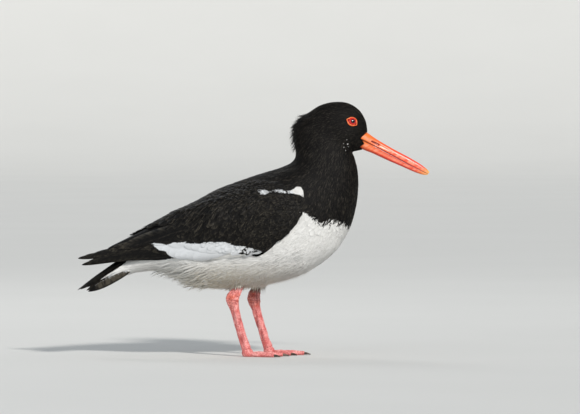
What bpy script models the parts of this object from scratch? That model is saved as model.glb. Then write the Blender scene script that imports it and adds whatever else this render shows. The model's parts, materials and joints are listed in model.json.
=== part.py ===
"""A Eurasian oystercatcher, life size, standing still on a flat floor.

The bird faces +X with its right side towards -Y, +Z is up and the soles lie on Z = 0.
Lengths are in millimetres up to the point where a mesh is made, in metres.
"""

import math
import random
from collections import namedtuple

import bmesh
import bpy
import numpy as np
from mathutils import Vector

MM = 0.001
GAP = 0.3
HALVINGS = 40
WELD = 1e-6
SIDES = {"right": -1, "left": 1}

# The body, section by section from the tail root to the face. Each section is a flat,
# rounded ring between a point on the back line and a point on the belly line.
#              back x, back z, belly x, belly z, half width
BODY_SECTIONS = {
    "tail_root": (-132, 94.5, -124.5, 81.5, 9),
    "undertail": (-117.5, 104, -114.5, 84, 14),
    "rump": (-97.5, 119, -96.5, 85, 23),
    "vent": (-78.5, 134, -79.5, 80.5, 33),
    "loin": (-59.5, 152, -64, 71.5, 41),
    "belly_rear": (-38.5, 165, -42.5, 68.5, 46),
    "belly": (-15.5, 174, -17.5, 68, 49),
    "belly_front": (6.5, 181.5, 9, 71, 50),
    "breast_low": (24.5, 187, 36.5, 77.5, 48.5),
    "breast": (35.5, 191.5, 61.5, 88.5, 45),
    "breast_top": (40.5, 195.5, 83, 106, 40),
    "yoke": (42.5, 200, 95.5, 127, 35),
    "neck_base": (42.5, 206, 102, 148, 31),
    "neck_low": (41.5, 213, 104.5, 168, 27.5),
    "neck": (40.5, 221, 104, 185, 24.5),
    "nape": (41.5, 230, 101, 198, 22),
    "throat": (46.5, 237, 99, 203, 20.5),
    "hind_crown": (57, 244.6, 99.5, 204.2, 19.5),
    "crown": (67.5, 251, 101.5, 204.8, 19),
    "fore_crown": (80.5, 254, 103.5, 205.2, 18),
    "brow": (93, 252.5, 105.5, 205.6, 16),
    "forehead": (104, 245.5, 107.5, 206, 13),
    "lore": (110.5, 235, 109, 206.2, 9.5),
    "bill_root": (113, 223, 109.5, 206.5, 6),
}
# The bed that a folded wing lies on: the body's own sections in front, and behind them
# the fuller form that the rump, the tail coverts and the wing tips make together.
BED_REAR_SECTIONS = {
    "bed_tip": (-178.5, 96.5, -178.5, 89, 2.5),
    "bed_primaries": (-155.5, 103.2, -155.5, 88, 6),
    "bed_tail": (-135.5, 112, -135.5, 86, 11),
    "bed_rump": (-113.5, 123, -113.5, 82, 18),
    "bed_tertials": (-88.5, 136.5, -88.5, 78, 27),
    "bed_loin": (-63.5, 150, -63.5, 72, 37),
}
BED_FRONT = ("belly_rear", "belly", "belly_front", "breast_low", "breast", "breast_top", "yoke")
ROUNDNESS = 2.25

# Where the wing's upper and lower edges run, as height against distance along the bird.
WING_TOP = ((-174, 99), (-155.5, 104), (-135.5, 112.5), (-113.5, 123.5), (-88.5, 137),
            (-63.5, 149), (-38.5, 158.5), (-13.5, 164), (10.5, 167.5), (30.5, 166.5),
            (43.5, 162.5), (50.5, 155))
WING_BOTTOM = ((-174, 91.8), (-155.5, 92), (-135.5, 94), (-113.5, 95), (-88.5, 95.5),
               (-63.5, 96), (-38.5, 97), (-13.5, 99.5), (10.5, 106.5), (30.5, 120),
               (43.5, 134), (50.5, 146))
# The folded wing's thickness at the bend and at the rear, how far its smooth core is sunk
# into the body, and where along the bird the core ends and only feathers go on.
WING_THICKNESS, WING_REAR_THICKNESS = 5.0, 2.2
WING_SINK = 3.5
WING_CORE_TIP = -132
WING_CORE_TAPER = 30
WING_CORE_TIP_SHARE = 0.1
WING_RINGS = 22
WING_CORE_STEPS = 9
# The space kept between the two wings over the rump, and where the wing's front edge
# begins to round off, as a share of its length.
WING_SEAM = 0.8
WING_FRONT_SHARE = 0.72
WING_FRONT_END = 1.02

# The wing's feathers, tier by tier. A tier is a row of vanes, and each pair gives its first
# and its last vane. Roots and tips are placed by x, the distance along the bird, and q, the
# share of the way from the wing's upper edge to its lower one. Height is the tip's rise over
# the wing's surface, and depth is how far under that surface the vane's lower face lies.
# Each vane of a stack reaches a little deeper than the last, so that no two faces meet.
Tier = namedtuple("Tier", "count root_x root_q tip_x tip_q half_width height depth")
WING_TIERS = {
    "primary": Tier(
        count=7, root_x=(-92, -72), root_q=(0.84, 0.62), tip_x=(-174, -127), tip_q=(0.62, 0.42),
        half_width=(5.0, 7.0), height=(0.2, 2.6), depth=(0.8, 1.8),
    ),
    "secondary": Tier(
        count=6, root_x=(-60, -20), root_q=(0.72, 0.80), tip_x=(-118, -66), tip_q=(0.80, 0.93),
        half_width=(7.0, 7.0), height=(0.2, 0.5), depth=(1.5, 1.9),
    ),
    "tertial": Tier(
        count=5, root_x=(-52, -30), root_q=(0.50, 0.26), tip_x=(-88, -126), tip_q=(0.62, 0.40),
        half_width=(8.5, 8.0), height=(1.8, 3.2), depth=(1.6, 2.0),
    ),
    "greater_covert": Tier(
        count=9, root_x=(-48, 10), root_q=(0.66, 0.78), tip_x=(-92, -8), tip_q=(0.76, 0.95),
        half_width=(6.5, 6.5), height=(1.2, 1.2), depth=(1.4, 2.1),
    ),
    "median_covert": Tier(
        count=8, root_x=(-38, 28), root_q=(0.42, 0.62), tip_x=(-80, 8), tip_q=(0.66, 0.90),
        half_width=(6.5, 6.5), height=(1.5, 1.5), depth=(1.4, 2.1),
    ),
    "lesser_covert": Tier(
        count=8, root_x=(-26, 38), root_q=(0.22, 0.50), tip_x=(-58, 20), tip_q=(0.50, 0.80),
        half_width=(6.5, 6.5), height=(1.5, 1.5), depth=(1.4, 2.1),
    ),
}
# A vane's half width along its length, as shares from root to tip.
LONG_VANE_STATIONS = ((0, 0.55), (0.3, 0.95), (0.65, 1.0), (0.88, 0.74), (1.0, 0.22))
SHORT_VANE_STATIONS = ((0, 0.6), (0.55, 1.0), (0.85, 0.78), (1.0, 0.24))
LONG_TIERS = ("primary", "tertial")
VANE_ROOT_DEPTH = 0.9
VANE_LENGTH_VARIATION = 1.2
VANE_WIDTH_VARIATION = 0.06
FEATHER_SEED = 7

# Planes that part the body, each through two points of the side view.
HEAD_CUT = ((41.5, 230), (101, 198))
YOKE_CUT = ((-3.5, 181), (94.5, 126))
BACK_CUT = ((8.5, 166), (-73.5, 130))

BODY_RINGS_PER_SECTION = 2
BODY_SIDES = 30

# The bill in front of the plane that ends the face: culmen, lower edge and half width.
BILL_SECTIONS = (
    (125.5, 215.4, 120, 202.7, 4.6),
    (139.5, 207.2, 134, 195.7, 4.0),
    (153.5, 199.8, 149, 189.2, 3.4),
    (167.5, 191.4, 163.3, 183.2, 2.4),
    (173.5, 186.6, 170.8, 181.2, 1.5),
    (175.5, 183.6, 174.4, 181.6, 0.8),
)
BILL_RINGS_PER_SECTION = 2
BILL_SIDES = 16
MOUTH_LINE = ((111.3, 214.6), (175.6, 182.2))
NOSTRIL_ENDS = ((118, 215.0), (125, 211.4))
NOSTRIL_RADIUS = 0.9
NOSTRIL_DEPTH = 1.35

EYE_CENTRE = (98.8, 234.7)
EYE_RADIUS = 5.0
EYE_DEPTH = 2.9
LID_WIDTH, LID_HEIGHT = 10.4, 8.4
LID_RADIUS = 0.75
LID_POINTS = 14

# The legs in the side view, from inside the belly to the foot joint, the leg's radius at
# each of those points, and how far each leg stands from the middle.
LEG_POINTS = {
    "right": ((-9, 84), (-13.5, 71), (-19.8, 61), (-20.8, 56), (-18.5, 46), (-11.2, 20), (-7, 8)),
    "left": ((8, 84), (4, 71), (0.2, 59), (0.6, 54), (2.8, 45), (10.2, 20), (14.5, 8)),
}
LEG_RADII = (4.6, 4.2, 5.8, 6.0, 4.5, 4.2, 5.0)
LEG_SPREAD = 17
LEG_STEPS = 3
# The foot: a pad just ahead of the joint, and three toes whose soles are cut flat.
PAD_RADIUS = 5.4
PAD_AHEAD = 1.0
FOOT_CUT_HEIGHT = 10.5
# Each toe: its angle from straight ahead (inwards is positive), length and thickness.
TOES = {
    "inner": (34, 27, 2.9),
    "middle": (3, 35, 3.2),
    "outer": (-27, 30, 2.9),
}
# Each toe swells and narrows along its joints, and its axis lies lower where it is thin.
TOE_SWELLINGS = (1.0, 0.86, 1.0, 0.8, 0.9, 0.74, 0.62)
TOE_SINK = 0.72
TOE_LEAST_RISE = 0.55
TOE_STEPS = 2
CLAW_LENGTH = 6.5
CLAW_RADII = (1.5, 1.35, 0.95, 0.45)
WHOLE_SPAN = 400
TUBE_RESOLUTION = 1

# The tail: a wedge behind the body's last section, and the feathers that fan from it. The
# fan leans down from the level by its slope, and its outer feathers hang lower.
TAIL_CORE_SECTIONS = (
    (-141, 88.2, -136, 77.0, 10),
    (-151, 82.0, -147.5, 73.4, 8.5),
    (-161, 75.6, -158.5, 70.6, 5),
)
TAIL_CORE_SIDES = 16
TAIL_FEATHERS = 12
TAIL_SLOPE = 31
TAIL_ROOT = (-133, 92.2)
TAIL_MIDDLE_LENGTH, TAIL_EDGE_LENGTH = 51.2, 40.0
TAIL_ROOT_HALF_SPREAD, TAIL_TIP_HALF_SPREAD = 5.0, 13.5
TAIL_ARCH = 2.2
TAIL_STEP = 0.6
TAIL_VANE_HALF_WIDTH = 5.6
TAIL_VANE_THICKNESS = 0.9

COLOURS = {
    "black_feather": ((0.012, 0.011, 0.012), 0.55),
    "white_feather": ((0.82, 0.80, 0.75), 0.75),
    "bill": ((0.85, 0.13, 0.03), 0.3),
    "eye": ((0.35, 0.01, 0.01), 0.08),
    "eyelid": ((0.9, 0.13, 0.02), 0.4),
    "leg_skin": ((0.75, 0.22, 0.19), 0.5),
    "claw": ((0.03, 0.025, 0.022), 0.35),
}


def clear_scene():
    for obj in list(bpy.data.objects):
        bpy.data.objects.remove(obj)


def material(name):
    made = bpy.data.materials.get(name)
    if made is None:
        colour, roughness = COLOURS[name]
        made = bpy.data.materials.new(name)
        made.use_nodes = True
        shader = made.node_tree.nodes["Principled BSDF"]
        shader.inputs["Base Color"].default_value = (*colour, 1)
        shader.inputs["Roughness"].default_value = roughness
        shader.inputs["Metallic"].default_value = 0
    return made


def new_collection(name, hidden=False):
    made = bpy.data.collections.new(name)
    made.hide_render = hidden
    bpy.context.scene.collection.children.link(made)
    return made


def add_object(name, mesh, collection, finish=None):
    obj = bpy.data.objects.new(name, mesh)
    collection.objects.link(obj)
    if finish:
        mesh.materials.append(material(finish))
    mesh.shade_smooth()
    mesh.set_sharp_from_angle(angle=math.radians(50))
    return obj


def add_cutter(name, mesh):
    obj = add_object(name, mesh, CUTTERS)
    obj.hide_render = True
    obj.display_type = "WIRE"
    return obj


def smooth_rows(rows, t):
    """Catmull-Rom through the rows, at t counted in rows."""
    rows = np.asarray(rows, float)
    last = len(rows) - 1
    t = min(max(t, 0.0), last)
    i = min(int(t), last - 1)
    f = t - i
    before = rows[i - 1] if i else 2 * rows[0] - rows[1]
    after = rows[i + 2] if i + 2 <= last else 2 * rows[last] - rows[last - 1]
    a, b = rows[i], rows[i + 1]
    return 0.5 * (
        2 * a + (b - before) * f
        + (2 * before - 5 * a + 4 * b - after) * f**2
        + (3 * a - before - 3 * b + after) * f**3
    )


def along(line, x):
    """The height of an edge line at x."""
    xs, zs = zip(*line)
    return float(np.interp(x, xs, zs))


def section_point(row, angle, grow=0.0):
    """A point of a body section: angle 0 is the back line, pi the belly line, and the left
    side of the bird lies between. grow moves it outwards."""
    back = np.array([row[0], 0, row[1]])
    belly = np.array([row[2], 0, row[3]])
    middle, half = (back + belly) / 2, (back - belly) / 2
    reach = np.linalg.norm(half)
    c, s = math.cos(angle), math.sin(angle)
    power = 2 / ROUNDNESS
    up = math.copysign(abs(c) ** power, c) * (reach + grow)
    out = math.copysign(abs(s) ** power, s) * (row[4] + grow)
    return middle + half / reach * up + np.array([0, out, 0])


def loft(name, rings):
    """A closed mesh through rings of points, each ring going round the same way."""
    bm = bmesh.new()
    made = [[bm.verts.new(Vector(p) * MM) for p in ring] for ring in rings]
    count = len(made[0])
    for one, two in zip(made, made[1:]):
        for i in range(count):
            j = (i + 1) % count
            bm.faces.new((one[i], one[j], two[j], two[i]))
    bm.faces.new(made[0][::-1])
    bm.faces.new(made[-1])
    bmesh.ops.recalc_face_normals(bm, faces=bm.faces)
    mesh = bpy.data.meshes.new(name)
    bm.to_mesh(mesh)
    bm.free()
    return mesh


def body_mesh(name, grow=0.0):
    rows = list(BODY_SECTIONS.values())
    steps = (len(rows) - 1) * BODY_RINGS_PER_SECTION
    angles = [2 * math.pi * i / BODY_SIDES for i in range(BODY_SIDES)]
    rings = [
        [section_point(smooth_rows(rows, k / BODY_RINGS_PER_SECTION), a, grow) for a in angles]
        for k in range(steps + 1)
    ]
    return loft(name, rings)


def cut_by_plane(mesh, ends, keep_above, gap=GAP / 2):
    """Cuts a mesh by the upright-to-Y plane through two side-view points and closes the cut."""
    (x0, z0), (x1, z1) = ends
    if x1 < x0:
        x0, z0, x1, z1 = x1, z1, x0, z0
    normal = Vector((z0 - z1, 0, x1 - x0)).normalized()
    side = 1 if keep_above else -1
    point = (Vector((x0, 0, z0)) + normal * gap * side) * MM
    bm = bmesh.new()
    bm.from_mesh(mesh)
    cut = bmesh.ops.bisect_plane(
        bm, geom=[*bm.verts, *bm.edges, *bm.faces], plane_co=point, plane_no=normal,
        clear_inner=keep_above, clear_outer=not keep_above, dist=1e-7,
    )
    edges = [e for e in cut["geom_cut"] if isinstance(e, bmesh.types.BMEdge)]
    bmesh.ops.contextual_create(bm, geom=edges)
    bmesh.ops.recalc_face_normals(bm, faces=bm.faces)
    bm.to_mesh(mesh)
    bm.free()
    return mesh


def boolean(obj, other, operation="DIFFERENCE", solver="EXACT"):
    """Applies one Boolean to obj's mesh."""
    modifier = obj.modifiers.new(operation.lower(), "BOOLEAN")
    modifier.operation = operation
    modifier.solver = solver
    modifier.object = other
    apply_modifiers(obj)


def apply_modifiers(obj):
    """Replaces an object's mesh by the one that its modifiers make."""
    graph = bpy.context.evaluated_depsgraph_get()
    made = bpy.data.meshes.new_from_object(obj.evaluated_get(graph))
    obj.modifiers.clear()
    old = obj.data
    obj.data = made
    made.name = old.name
    bpy.data.meshes.remove(old)
    made.set_sharp_from_angle(angle=math.radians(50))


def drop_flaps(bm):
    """Splits the faces into triangles and deletes pairs that lie back to back on the same
    three corners, which a union can leave as a flap of no thickness."""
    bmesh.ops.triangulate(bm, faces=bm.faces)
    by_corners = {}
    for face in bm.faces:
        by_corners.setdefault(frozenset(face.verts), []).append(face)
    flaps = [face for same in by_corners.values() if len(same) > 1 for face in same]
    bmesh.ops.delete(bm, geom=flaps, context="FACES_ONLY")
    bmesh.ops.delete(bm, geom=[e for e in bm.edges if not e.link_faces], context="EDGES")
    bmesh.ops.delete(bm, geom=[v for v in bm.verts if not v.link_faces], context="VERTS")


def face_groups(bm):
    """The mesh's faces in groups that hang together over edges of two faces each."""
    left, groups = set(bm.faces), []
    while left:
        edge_of_search, found = [left.pop()], []
        while edge_of_search:
            face = edge_of_search.pop()
            found.append(face)
            edges = [e for e in face.edges if len(e.link_faces) == 2]
            near = {other for e in edges for other in e.link_faces} & left
            left -= near
            edge_of_search.extend(near)
        groups.append(found)
    return groups


def signed_volume(faces):
    """Six times the volume that triangles close off, negative where they face inwards."""
    corners = ([v.co for v in face.verts] for face in faces)
    return sum(a.dot(b.cross(c)) for a, b, c in corners)


def keep_largest(obj):
    """Keeps the largest closed surface of a node's mesh."""
    bm = bmesh.new()
    bm.from_mesh(obj.data)
    bmesh.ops.remove_doubles(bm, verts=bm.verts, dist=WELD)
    drop_flaps(bm)
    groups = sorted(face_groups(bm), key=signed_volume)
    rest = [face for group in groups[:-1] for face in group]
    bmesh.ops.delete(bm, geom=rest, context="FACES")
    bm.to_mesh(obj.data)
    bm.free()


def bed_rows():
    return [*BED_REAR_SECTIONS.values(), *(BODY_SECTIONS[n] for n in BED_FRONT)]


def bed_at(x):
    """The bed's section whose middle lies at x."""
    rows = bed_rows()
    low, high = 0.0, len(rows) - 1.0
    for _ in range(HALVINGS):
        t = (low + high) / 2
        row = smooth_rows(rows, t)
        if (row[0] + row[2]) / 2 < x:
            low = t
        else:
            high = t
    return smooth_rows(rows, low)


def angle_at_height(row, z):
    """The section angle at which a bed section reaches height z."""
    share = (z - (row[1] + row[3]) / 2) / ((row[1] - row[3]) / 2)
    share = max(-0.999, min(0.999, share))
    return math.acos(math.copysign(abs(share) ** (ROUNDNESS / 2), share))


def angle_at_side(row, y):
    """The section angle near the back line at which a bed section is y wide."""
    return math.asin((y / row[4]) ** (ROUNDNESS / 2))


def wing_edges(x):
    """The bed's section at x and its angles at the wing's upper and lower edges."""
    row = bed_at(x)
    top = max(angle_at_height(row, along(WING_TOP, x)), angle_at_side(row, WING_SEAM))
    return row, top, angle_at_height(row, along(WING_BOTTOM, x))


def wing_point(x, q, height):
    """A point over the wing's bed: q runs from the upper edge to the lower one."""
    row, top, bottom = wing_edges(x)
    return section_point(row, top + (bottom - top) * q, GAP + height)


def wing_rise(x, q):
    """How far the wing's smooth surface stands over its bed."""
    x_tip, x_bend = WING_TOP[0][0], WING_TOP[-1][0]
    share = (x - x_tip) / (x_bend - x_tip)
    thick = between((WING_REAR_THICKNESS, WING_THICKNESS), min(1, 2 * share))
    front = max(0, (share - WING_FRONT_SHARE) / (WING_FRONT_END - WING_FRONT_SHARE))
    q = min(max(q, 0), 1)
    return thick * math.sqrt((1 - front**2) * (1 - abs(2 * q - 1) ** 4))


def wing_breadth(x, steps=8):
    """The length of the wing's surface from its upper edge to its lower one at x."""
    row, top, bottom = wing_edges(x)
    points = [section_point(row, top + (bottom - top) * i / steps) for i in range(steps + 1)]
    return sum(float(np.linalg.norm(b - a)) for a, b in zip(points, points[1:]))


def wing_core(name, side):
    """The smooth body of the folded wing, a shell over its bed that narrows to the rear."""
    x_bend = WING_TOP[-1][0]
    rings = []
    for k in range(WING_RINGS + 1):
        x = WING_CORE_TIP + (x_bend - WING_CORE_TIP) * k / WING_RINGS
        taper = min(1, (x - WING_CORE_TIP) / WING_CORE_TAPER + WING_CORE_TIP_SHARE)
        shares = [0.5 + (i / WING_CORE_STEPS - 0.5) * taper for i in range(WING_CORE_STEPS + 1)]
        outer = [wing_point(x, q, wing_rise(x, q) * math.sqrt(taper)) for q in shares]
        inner = [wing_point(x, q, -WING_SINK * taper) for q in shares[-2:0:-1]]
        rings.append([mirrored(p, side) for p in outer + inner])
    return loft(name, rings)


def between(pair, share):
    return pair[0] + (pair[1] - pair[0]) * share


def mirrored(point, side):
    """A point of the bird's left side, moved to the side asked for."""
    return np.array(point) * np.array([1, side, 1])


def vane(name, stations, place):
    """A feather: place(along, across, top) gives a point of its upper or lower face. Both
    faces are split into triangles alike, so that they can't cross."""
    bm = bmesh.new()
    rings = []
    for share, width in stations:
        upper = [place(share, width * b, True) for b in (-1, 0, 1)]
        lower = [place(share, width * b, False) for b in (1, 0, -1)]
        rings.append([bm.verts.new(Vector(p) * MM) for p in upper + lower])
    for one, two in zip(rings, rings[1:]):
        for i in range(6):
            j = (i + 1) % 6
            if i < 3:
                bm.faces.new((one[i], one[j], two[j]))
                bm.faces.new((one[i], two[j], two[i]))
            else:
                bm.faces.new((one[i], one[j], two[i]))
                bm.faces.new((one[j], two[j], two[i]))
    for ring in (rings[0], rings[-1]):
        bm.faces.new((ring[0], ring[1], ring[4], ring[5]))
        bm.faces.new((ring[1], ring[2], ring[3], ring[4]))
    bmesh.ops.recalc_face_normals(bm, faces=bm.faces)
    mesh = bpy.data.meshes.new(name)
    bm.to_mesh(mesh)
    bm.free()
    return mesh


def wing_vane(name, tier, stations, share, side):
    """One feather of a wing tier, laid along the wing's surface."""
    root_x = between(tier.root_x, share)
    tip_x = between(tier.tip_x, share) + DRAW.uniform(0, VANE_LENGTH_VARIATION)
    root = Vector((root_x, between(tier.root_q, share) * wing_breadth(root_x)))
    tip = Vector((tip_x, between(tier.tip_q, share) * wing_breadth(tip_x)))
    ahead = (tip - root).normalized()
    half_width = between(tier.half_width, share)
    half_width *= 1 + DRAW.uniform(-VANE_WIDTH_VARIATION, VANE_WIDTH_VARIATION)
    across = Vector((-ahead.y, ahead.x)) * half_width
    heights = (-VANE_ROOT_DEPTH, between(tier.height, share))
    depth = between(tier.depth, share)

    def place(a, b, top):
        x, arc = root + (tip - root) * a + across * b
        q = arc / wing_breadth(x)
        rise = between(heights, a) if top else -depth
        return mirrored(wing_point(x, q, wing_rise(x, q) + rise), side)

    return vane(name, stations, place)


def tail_vane(name, share):
    """One feather of the tail fan: share runs from -1 at the right edge to 1 at the left."""
    slope = math.radians(TAIL_SLOPE)
    back = Vector((-math.cos(slope), 0, -math.sin(slope)))
    up = Vector((-math.sin(slope), 0, math.cos(slope)))
    length = between((TAIL_MIDDLE_LENGTH, TAIL_EDGE_LENGTH), abs(share) ** 3)
    root = Vector((TAIL_ROOT[0], 0, TAIL_ROOT[1]))
    layer = abs(share) * (TAIL_FEATHERS - 1) / 2 * TAIL_STEP

    def place(a, b, top):
        spread = between((TAIL_ROOT_HALF_SPREAD, TAIL_TIP_HALF_SPREAD), a)
        y = share * spread + b * TAIL_VANE_HALF_WIDTH
        arch = TAIL_ARCH * a * (y / TAIL_TIP_HALF_SPREAD) ** 2
        height = -arch - layer - (0 if top else TAIL_VANE_THICKNESS)
        return root + back * length * a + up * height + Vector((0, y, 0))

    return vane(name, LONG_VANE_STATIONS, place)


def moved_forward(row, distance):
    """A section moved along its own plane's normal, towards the head."""
    across = Vector((row[0] - row[2], row[1] - row[3])).normalized()
    step = Vector((across.y, -across.x)) * distance
    return (row[0] + step.x, row[1] + step.y, row[2] + step.x, row[3] + step.y, row[4])


def section_loft(name, rows, rings_per_section, sides):
    steps = (len(rows) - 1) * rings_per_section
    angles = [2 * math.pi * i / sides for i in range(sides)]
    rings = [
        [section_point(smooth_rows(rows, k / rings_per_section), a) for a in angles]
        for k in range(steps + 1)
    ]
    return loft(name, rings)


def body_side_point(x, z):
    """Where the line across the bird through (x, z) of the side view leaves the body."""
    rows = list(BODY_SECTIONS.values())
    low, high = 0.0, len(rows) - 1.0
    for _ in range(HALVINGS):
        t = (low + high) / 2
        row = smooth_rows(rows, t)
        turn = (row[0] - row[2]) * (z - row[3]) - (row[1] - row[3]) * (x - row[2])
        if turn > 0:
            high = t
        else:
            low = t
    row = smooth_rows(rows, low)
    length = math.hypot(row[0] - row[2], row[1] - row[3])
    share = 2 * math.hypot(x - row[2], z - row[3]) / length - 1
    share = max(-1, min(1, share))
    angle = math.acos(math.copysign(abs(share) ** (ROUNDNESS / 2), share))
    return section_point(row, angle)


def body_normal(x, z, step=1.0):
    """The outward normal of the body's left side at (x, z) of the side view."""
    dx = body_side_point(x + step, z) - body_side_point(x - step, z)
    dz = body_side_point(x, z + step) - body_side_point(x, z - step)
    return Vector(np.cross(dz, dx)).normalized()


def tube(name, points, radii, cyclic=False):
    """A closed mesh tube through points, thick as radii says."""
    curve = bpy.data.curves.new(name, "CURVE")
    curve.dimensions = "3D"
    curve.bevel_depth = MM
    curve.bevel_resolution = TUBE_RESOLUTION
    curve.use_fill_caps = not cyclic
    spline = curve.splines.new("POLY")
    spline.points.add(len(points) - 1)
    for made, place, radius in zip(spline.points, points, radii):
        made.co = (*(Vector(place) * MM), 1)
        made.radius = radius
    spline.use_cyclic_u = cyclic
    guide = bpy.data.objects.new(name, curve)
    bpy.context.scene.collection.objects.link(guide)
    graph = bpy.context.evaluated_depsgraph_get()
    mesh = bpy.data.meshes.new_from_object(guide.evaluated_get(graph))
    mesh.name = name
    bpy.data.objects.remove(guide)
    bm = bmesh.new()
    bm.from_mesh(mesh)
    bmesh.ops.remove_doubles(bm, verts=bm.verts, dist=1e-6)
    bmesh.ops.recalc_face_normals(bm, faces=bm.faces)
    bm.to_mesh(mesh)
    bm.free()
    return mesh


def ball(name, centre, radius, stretch=(1, 1, 1), segments=14, rings=8):
    bm = bmesh.new()
    bmesh.ops.create_uvsphere(bm, u_segments=segments, v_segments=rings, radius=radius * MM)
    bmesh.ops.scale(bm, vec=stretch, verts=bm.verts)
    bmesh.ops.translate(bm, vec=Vector(centre) * MM, verts=bm.verts)
    mesh = bpy.data.meshes.new(name)
    bm.to_mesh(mesh)
    bm.free()
    return mesh


def smooth_path(points, radii, per_span):
    """The points and radii of a smooth curve through the ones given."""
    rows = [(*p, r) for p, r in zip(points, radii)]
    steps = (len(rows) - 1) * per_span
    made = [smooth_rows(rows, k / per_span) for k in range(steps + 1)]
    return [row[:3] for row in made], [row[3] for row in made]


def union_of(obj, meshes):
    """Joins further closed meshes to a node in one Boolean union."""
    pieces = bpy.data.collections.new("pieces")
    bpy.context.scene.collection.children.link(pieces)
    for mesh in meshes:
        pieces.objects.link(bpy.data.objects.new(mesh.name, mesh))
    modifier = obj.modifiers.new("union", "BOOLEAN")
    modifier.operation = "UNION"
    modifier.solver = "MANIFOLD"
    modifier.operand_type = "COLLECTION"
    modifier.collection = pieces
    apply_modifiers(obj)
    for piece in list(pieces.objects):
        bpy.data.objects.remove(piece)
    bpy.data.collections.remove(pieces)


def make_bill():
    """Both halves of the bill, parted along the mouth line."""
    rows = [moved_forward(BODY_SECTIONS["bill_root"], GAP), *BILL_SECTIONS]
    for name, above in (("bill_upper", True), ("bill_lower", False)):
        mesh = section_loft(name, rows, BILL_RINGS_PER_SECTION, BILL_SIDES)
        add_object(name, cut_by_plane(mesh, MOUTH_LINE, above), BIRD, "bill")
    make_nostrils(rows)


def make_eye(side_name, side):
    """An eye and the ring of bare skin round it, with their places in the head cut to a
    thin gap."""
    head = bpy.data.objects["head"]
    out = np.array(body_normal(*EYE_CENTRE))
    centre = mirrored(body_side_point(*EYE_CENTRE) - out * EYE_DEPTH, side)
    name = f"eye_{side_name}"
    add_object(name, ball(name, centre, EYE_RADIUS), BIRD, "eye")
    lid = []
    for k in range(LID_POINTS):
        turn = 2 * math.pi * k / LID_POINTS
        x = EYE_CENTRE[0] + LID_WIDTH / 2 * math.cos(turn)
        z = EYE_CENTRE[1] + LID_HEIGHT / 2 * math.sin(turn)
        lid.append(mirrored(body_side_point(x, z), side))
    name = f"eyelid_{side_name}"
    ring = add_object(name, tube(name, lid, [LID_RADIUS] * LID_POINTS, True), BIRD, "eyelid")
    eye_cutter = add_cutter("grown_eye", ball("grown_eye", centre, EYE_RADIUS + GAP))
    boolean(ring, eye_cutter, solver="MANIFOLD")
    keep_largest(ring)
    boolean(head, eye_cutter, solver="MANIFOLD")
    grown_lid = tube("grown_lid", lid, [LID_RADIUS + GAP] * LID_POINTS, True)
    boolean(head, add_cutter("grown_lid", grown_lid), solver="MANIFOLD")
    keep_largest(head)


def make_nostrils(rows):
    """A slit on each side of the upper bill."""
    bill = bpy.data.objects["bill_upper"]
    (x0, z0), (x1, z1) = NOSTRIL_ENDS
    length = math.hypot(x1 - x0, z1 - z0)
    for side in SIDES.values():
        y = side * rows[1][4]
        stretch = (length / 2 / NOSTRIL_RADIUS, NOSTRIL_DEPTH / NOSTRIL_RADIUS, 1)
        mesh = ball("nostril", (0, 0, 0), NOSTRIL_RADIUS, stretch)
        cutter = add_cutter("nostril", mesh)
        cutter.location = Vector(((x0 + x1) / 2, y, (z0 + z1) / 2)) * MM
        cutter.rotation_euler = (0, math.atan2(z0 - z1, x1 - x0), 0)
        bpy.context.view_layer.update()
        boolean(bill, cutter)


def make_toe(start, ahead, length, radius):
    """A toe's mesh and the place of its claw."""
    count = len(TOE_SWELLINGS)
    points = []
    for k, swelling in enumerate(TOE_SWELLINGS):
        place = start + ahead * length * k / (count - 1)
        place.z = radius * TOE_SINK * between((TOE_LEAST_RISE, 1), swelling)
        points.append(place)
    path, radii = smooth_path(points, [radius * s for s in TOE_SWELLINGS], TOE_STEPS)
    return tube("toe", path, radii), points[-1]


def make_claw(name, root, ahead):
    """A claw that bends down from the toe's end towards the floor."""
    count = len(CLAW_RADII)
    points = []
    for k in range(count):
        share = k / (count - 1)
        drop = (root.z - CLAW_RADII[-1] - GAP) * share**2
        points.append(root + ahead * (GAP + CLAW_LENGTH * share) - Vector((0, 0, drop)))
    path, radii = smooth_path(points, CLAW_RADII, TOE_STEPS)
    add_object(name, tube(name, path, radii), BIRD, "claw")


def make_leg(side_name, side):
    """A shank, a foot with three toes, and the claws."""
    y = side * LEG_SPREAD
    line = [(x, y, z) for x, z in LEG_POINTS[side_name]]
    path, radii = smooth_path(line, LEG_RADII, LEG_STEPS)
    whole = add_object("whole_leg", tube("whole_leg", path, radii), CUTTERS)
    start = Vector((line[-1][0] + PAD_AHEAD, y, 0))
    pieces = [ball("pad", start + Vector((0, 0, PAD_RADIUS * TOE_SINK)), PAD_RADIUS)]
    for toe_name, (spread, length, radius) in TOES.items():
        turn = math.radians(-spread * side)
        ahead = Vector((math.cos(turn), math.sin(turn), 0))
        toe, claw_root = make_toe(start, ahead, length, radius)
        pieces.append(toe)
        make_claw(f"claw_{side_name}_{toe_name}", claw_root, ahead)
    union_of(whole, pieces)
    cut_by_plane(whole.data, ((-WHOLE_SPAN, 0), (WHOLE_SPAN, 0)), True, 0.0)
    parting = ((-WHOLE_SPAN, FOOT_CUT_HEIGHT), (WHOLE_SPAN, FOOT_CUT_HEIGHT))
    for part_name, above in (("foot", False), ("shank", True)):
        mesh = cut_by_plane(whole.data.copy(), parting, above)
        mesh.name = f"{part_name}_{side_name}"
        piece = add_object(mesh.name, mesh, BIRD, "leg_skin")
        boolean(piece, bpy.data.objects["grown_body"])
        keep_largest(piece)
    bpy.data.objects.remove(whole)


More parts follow.
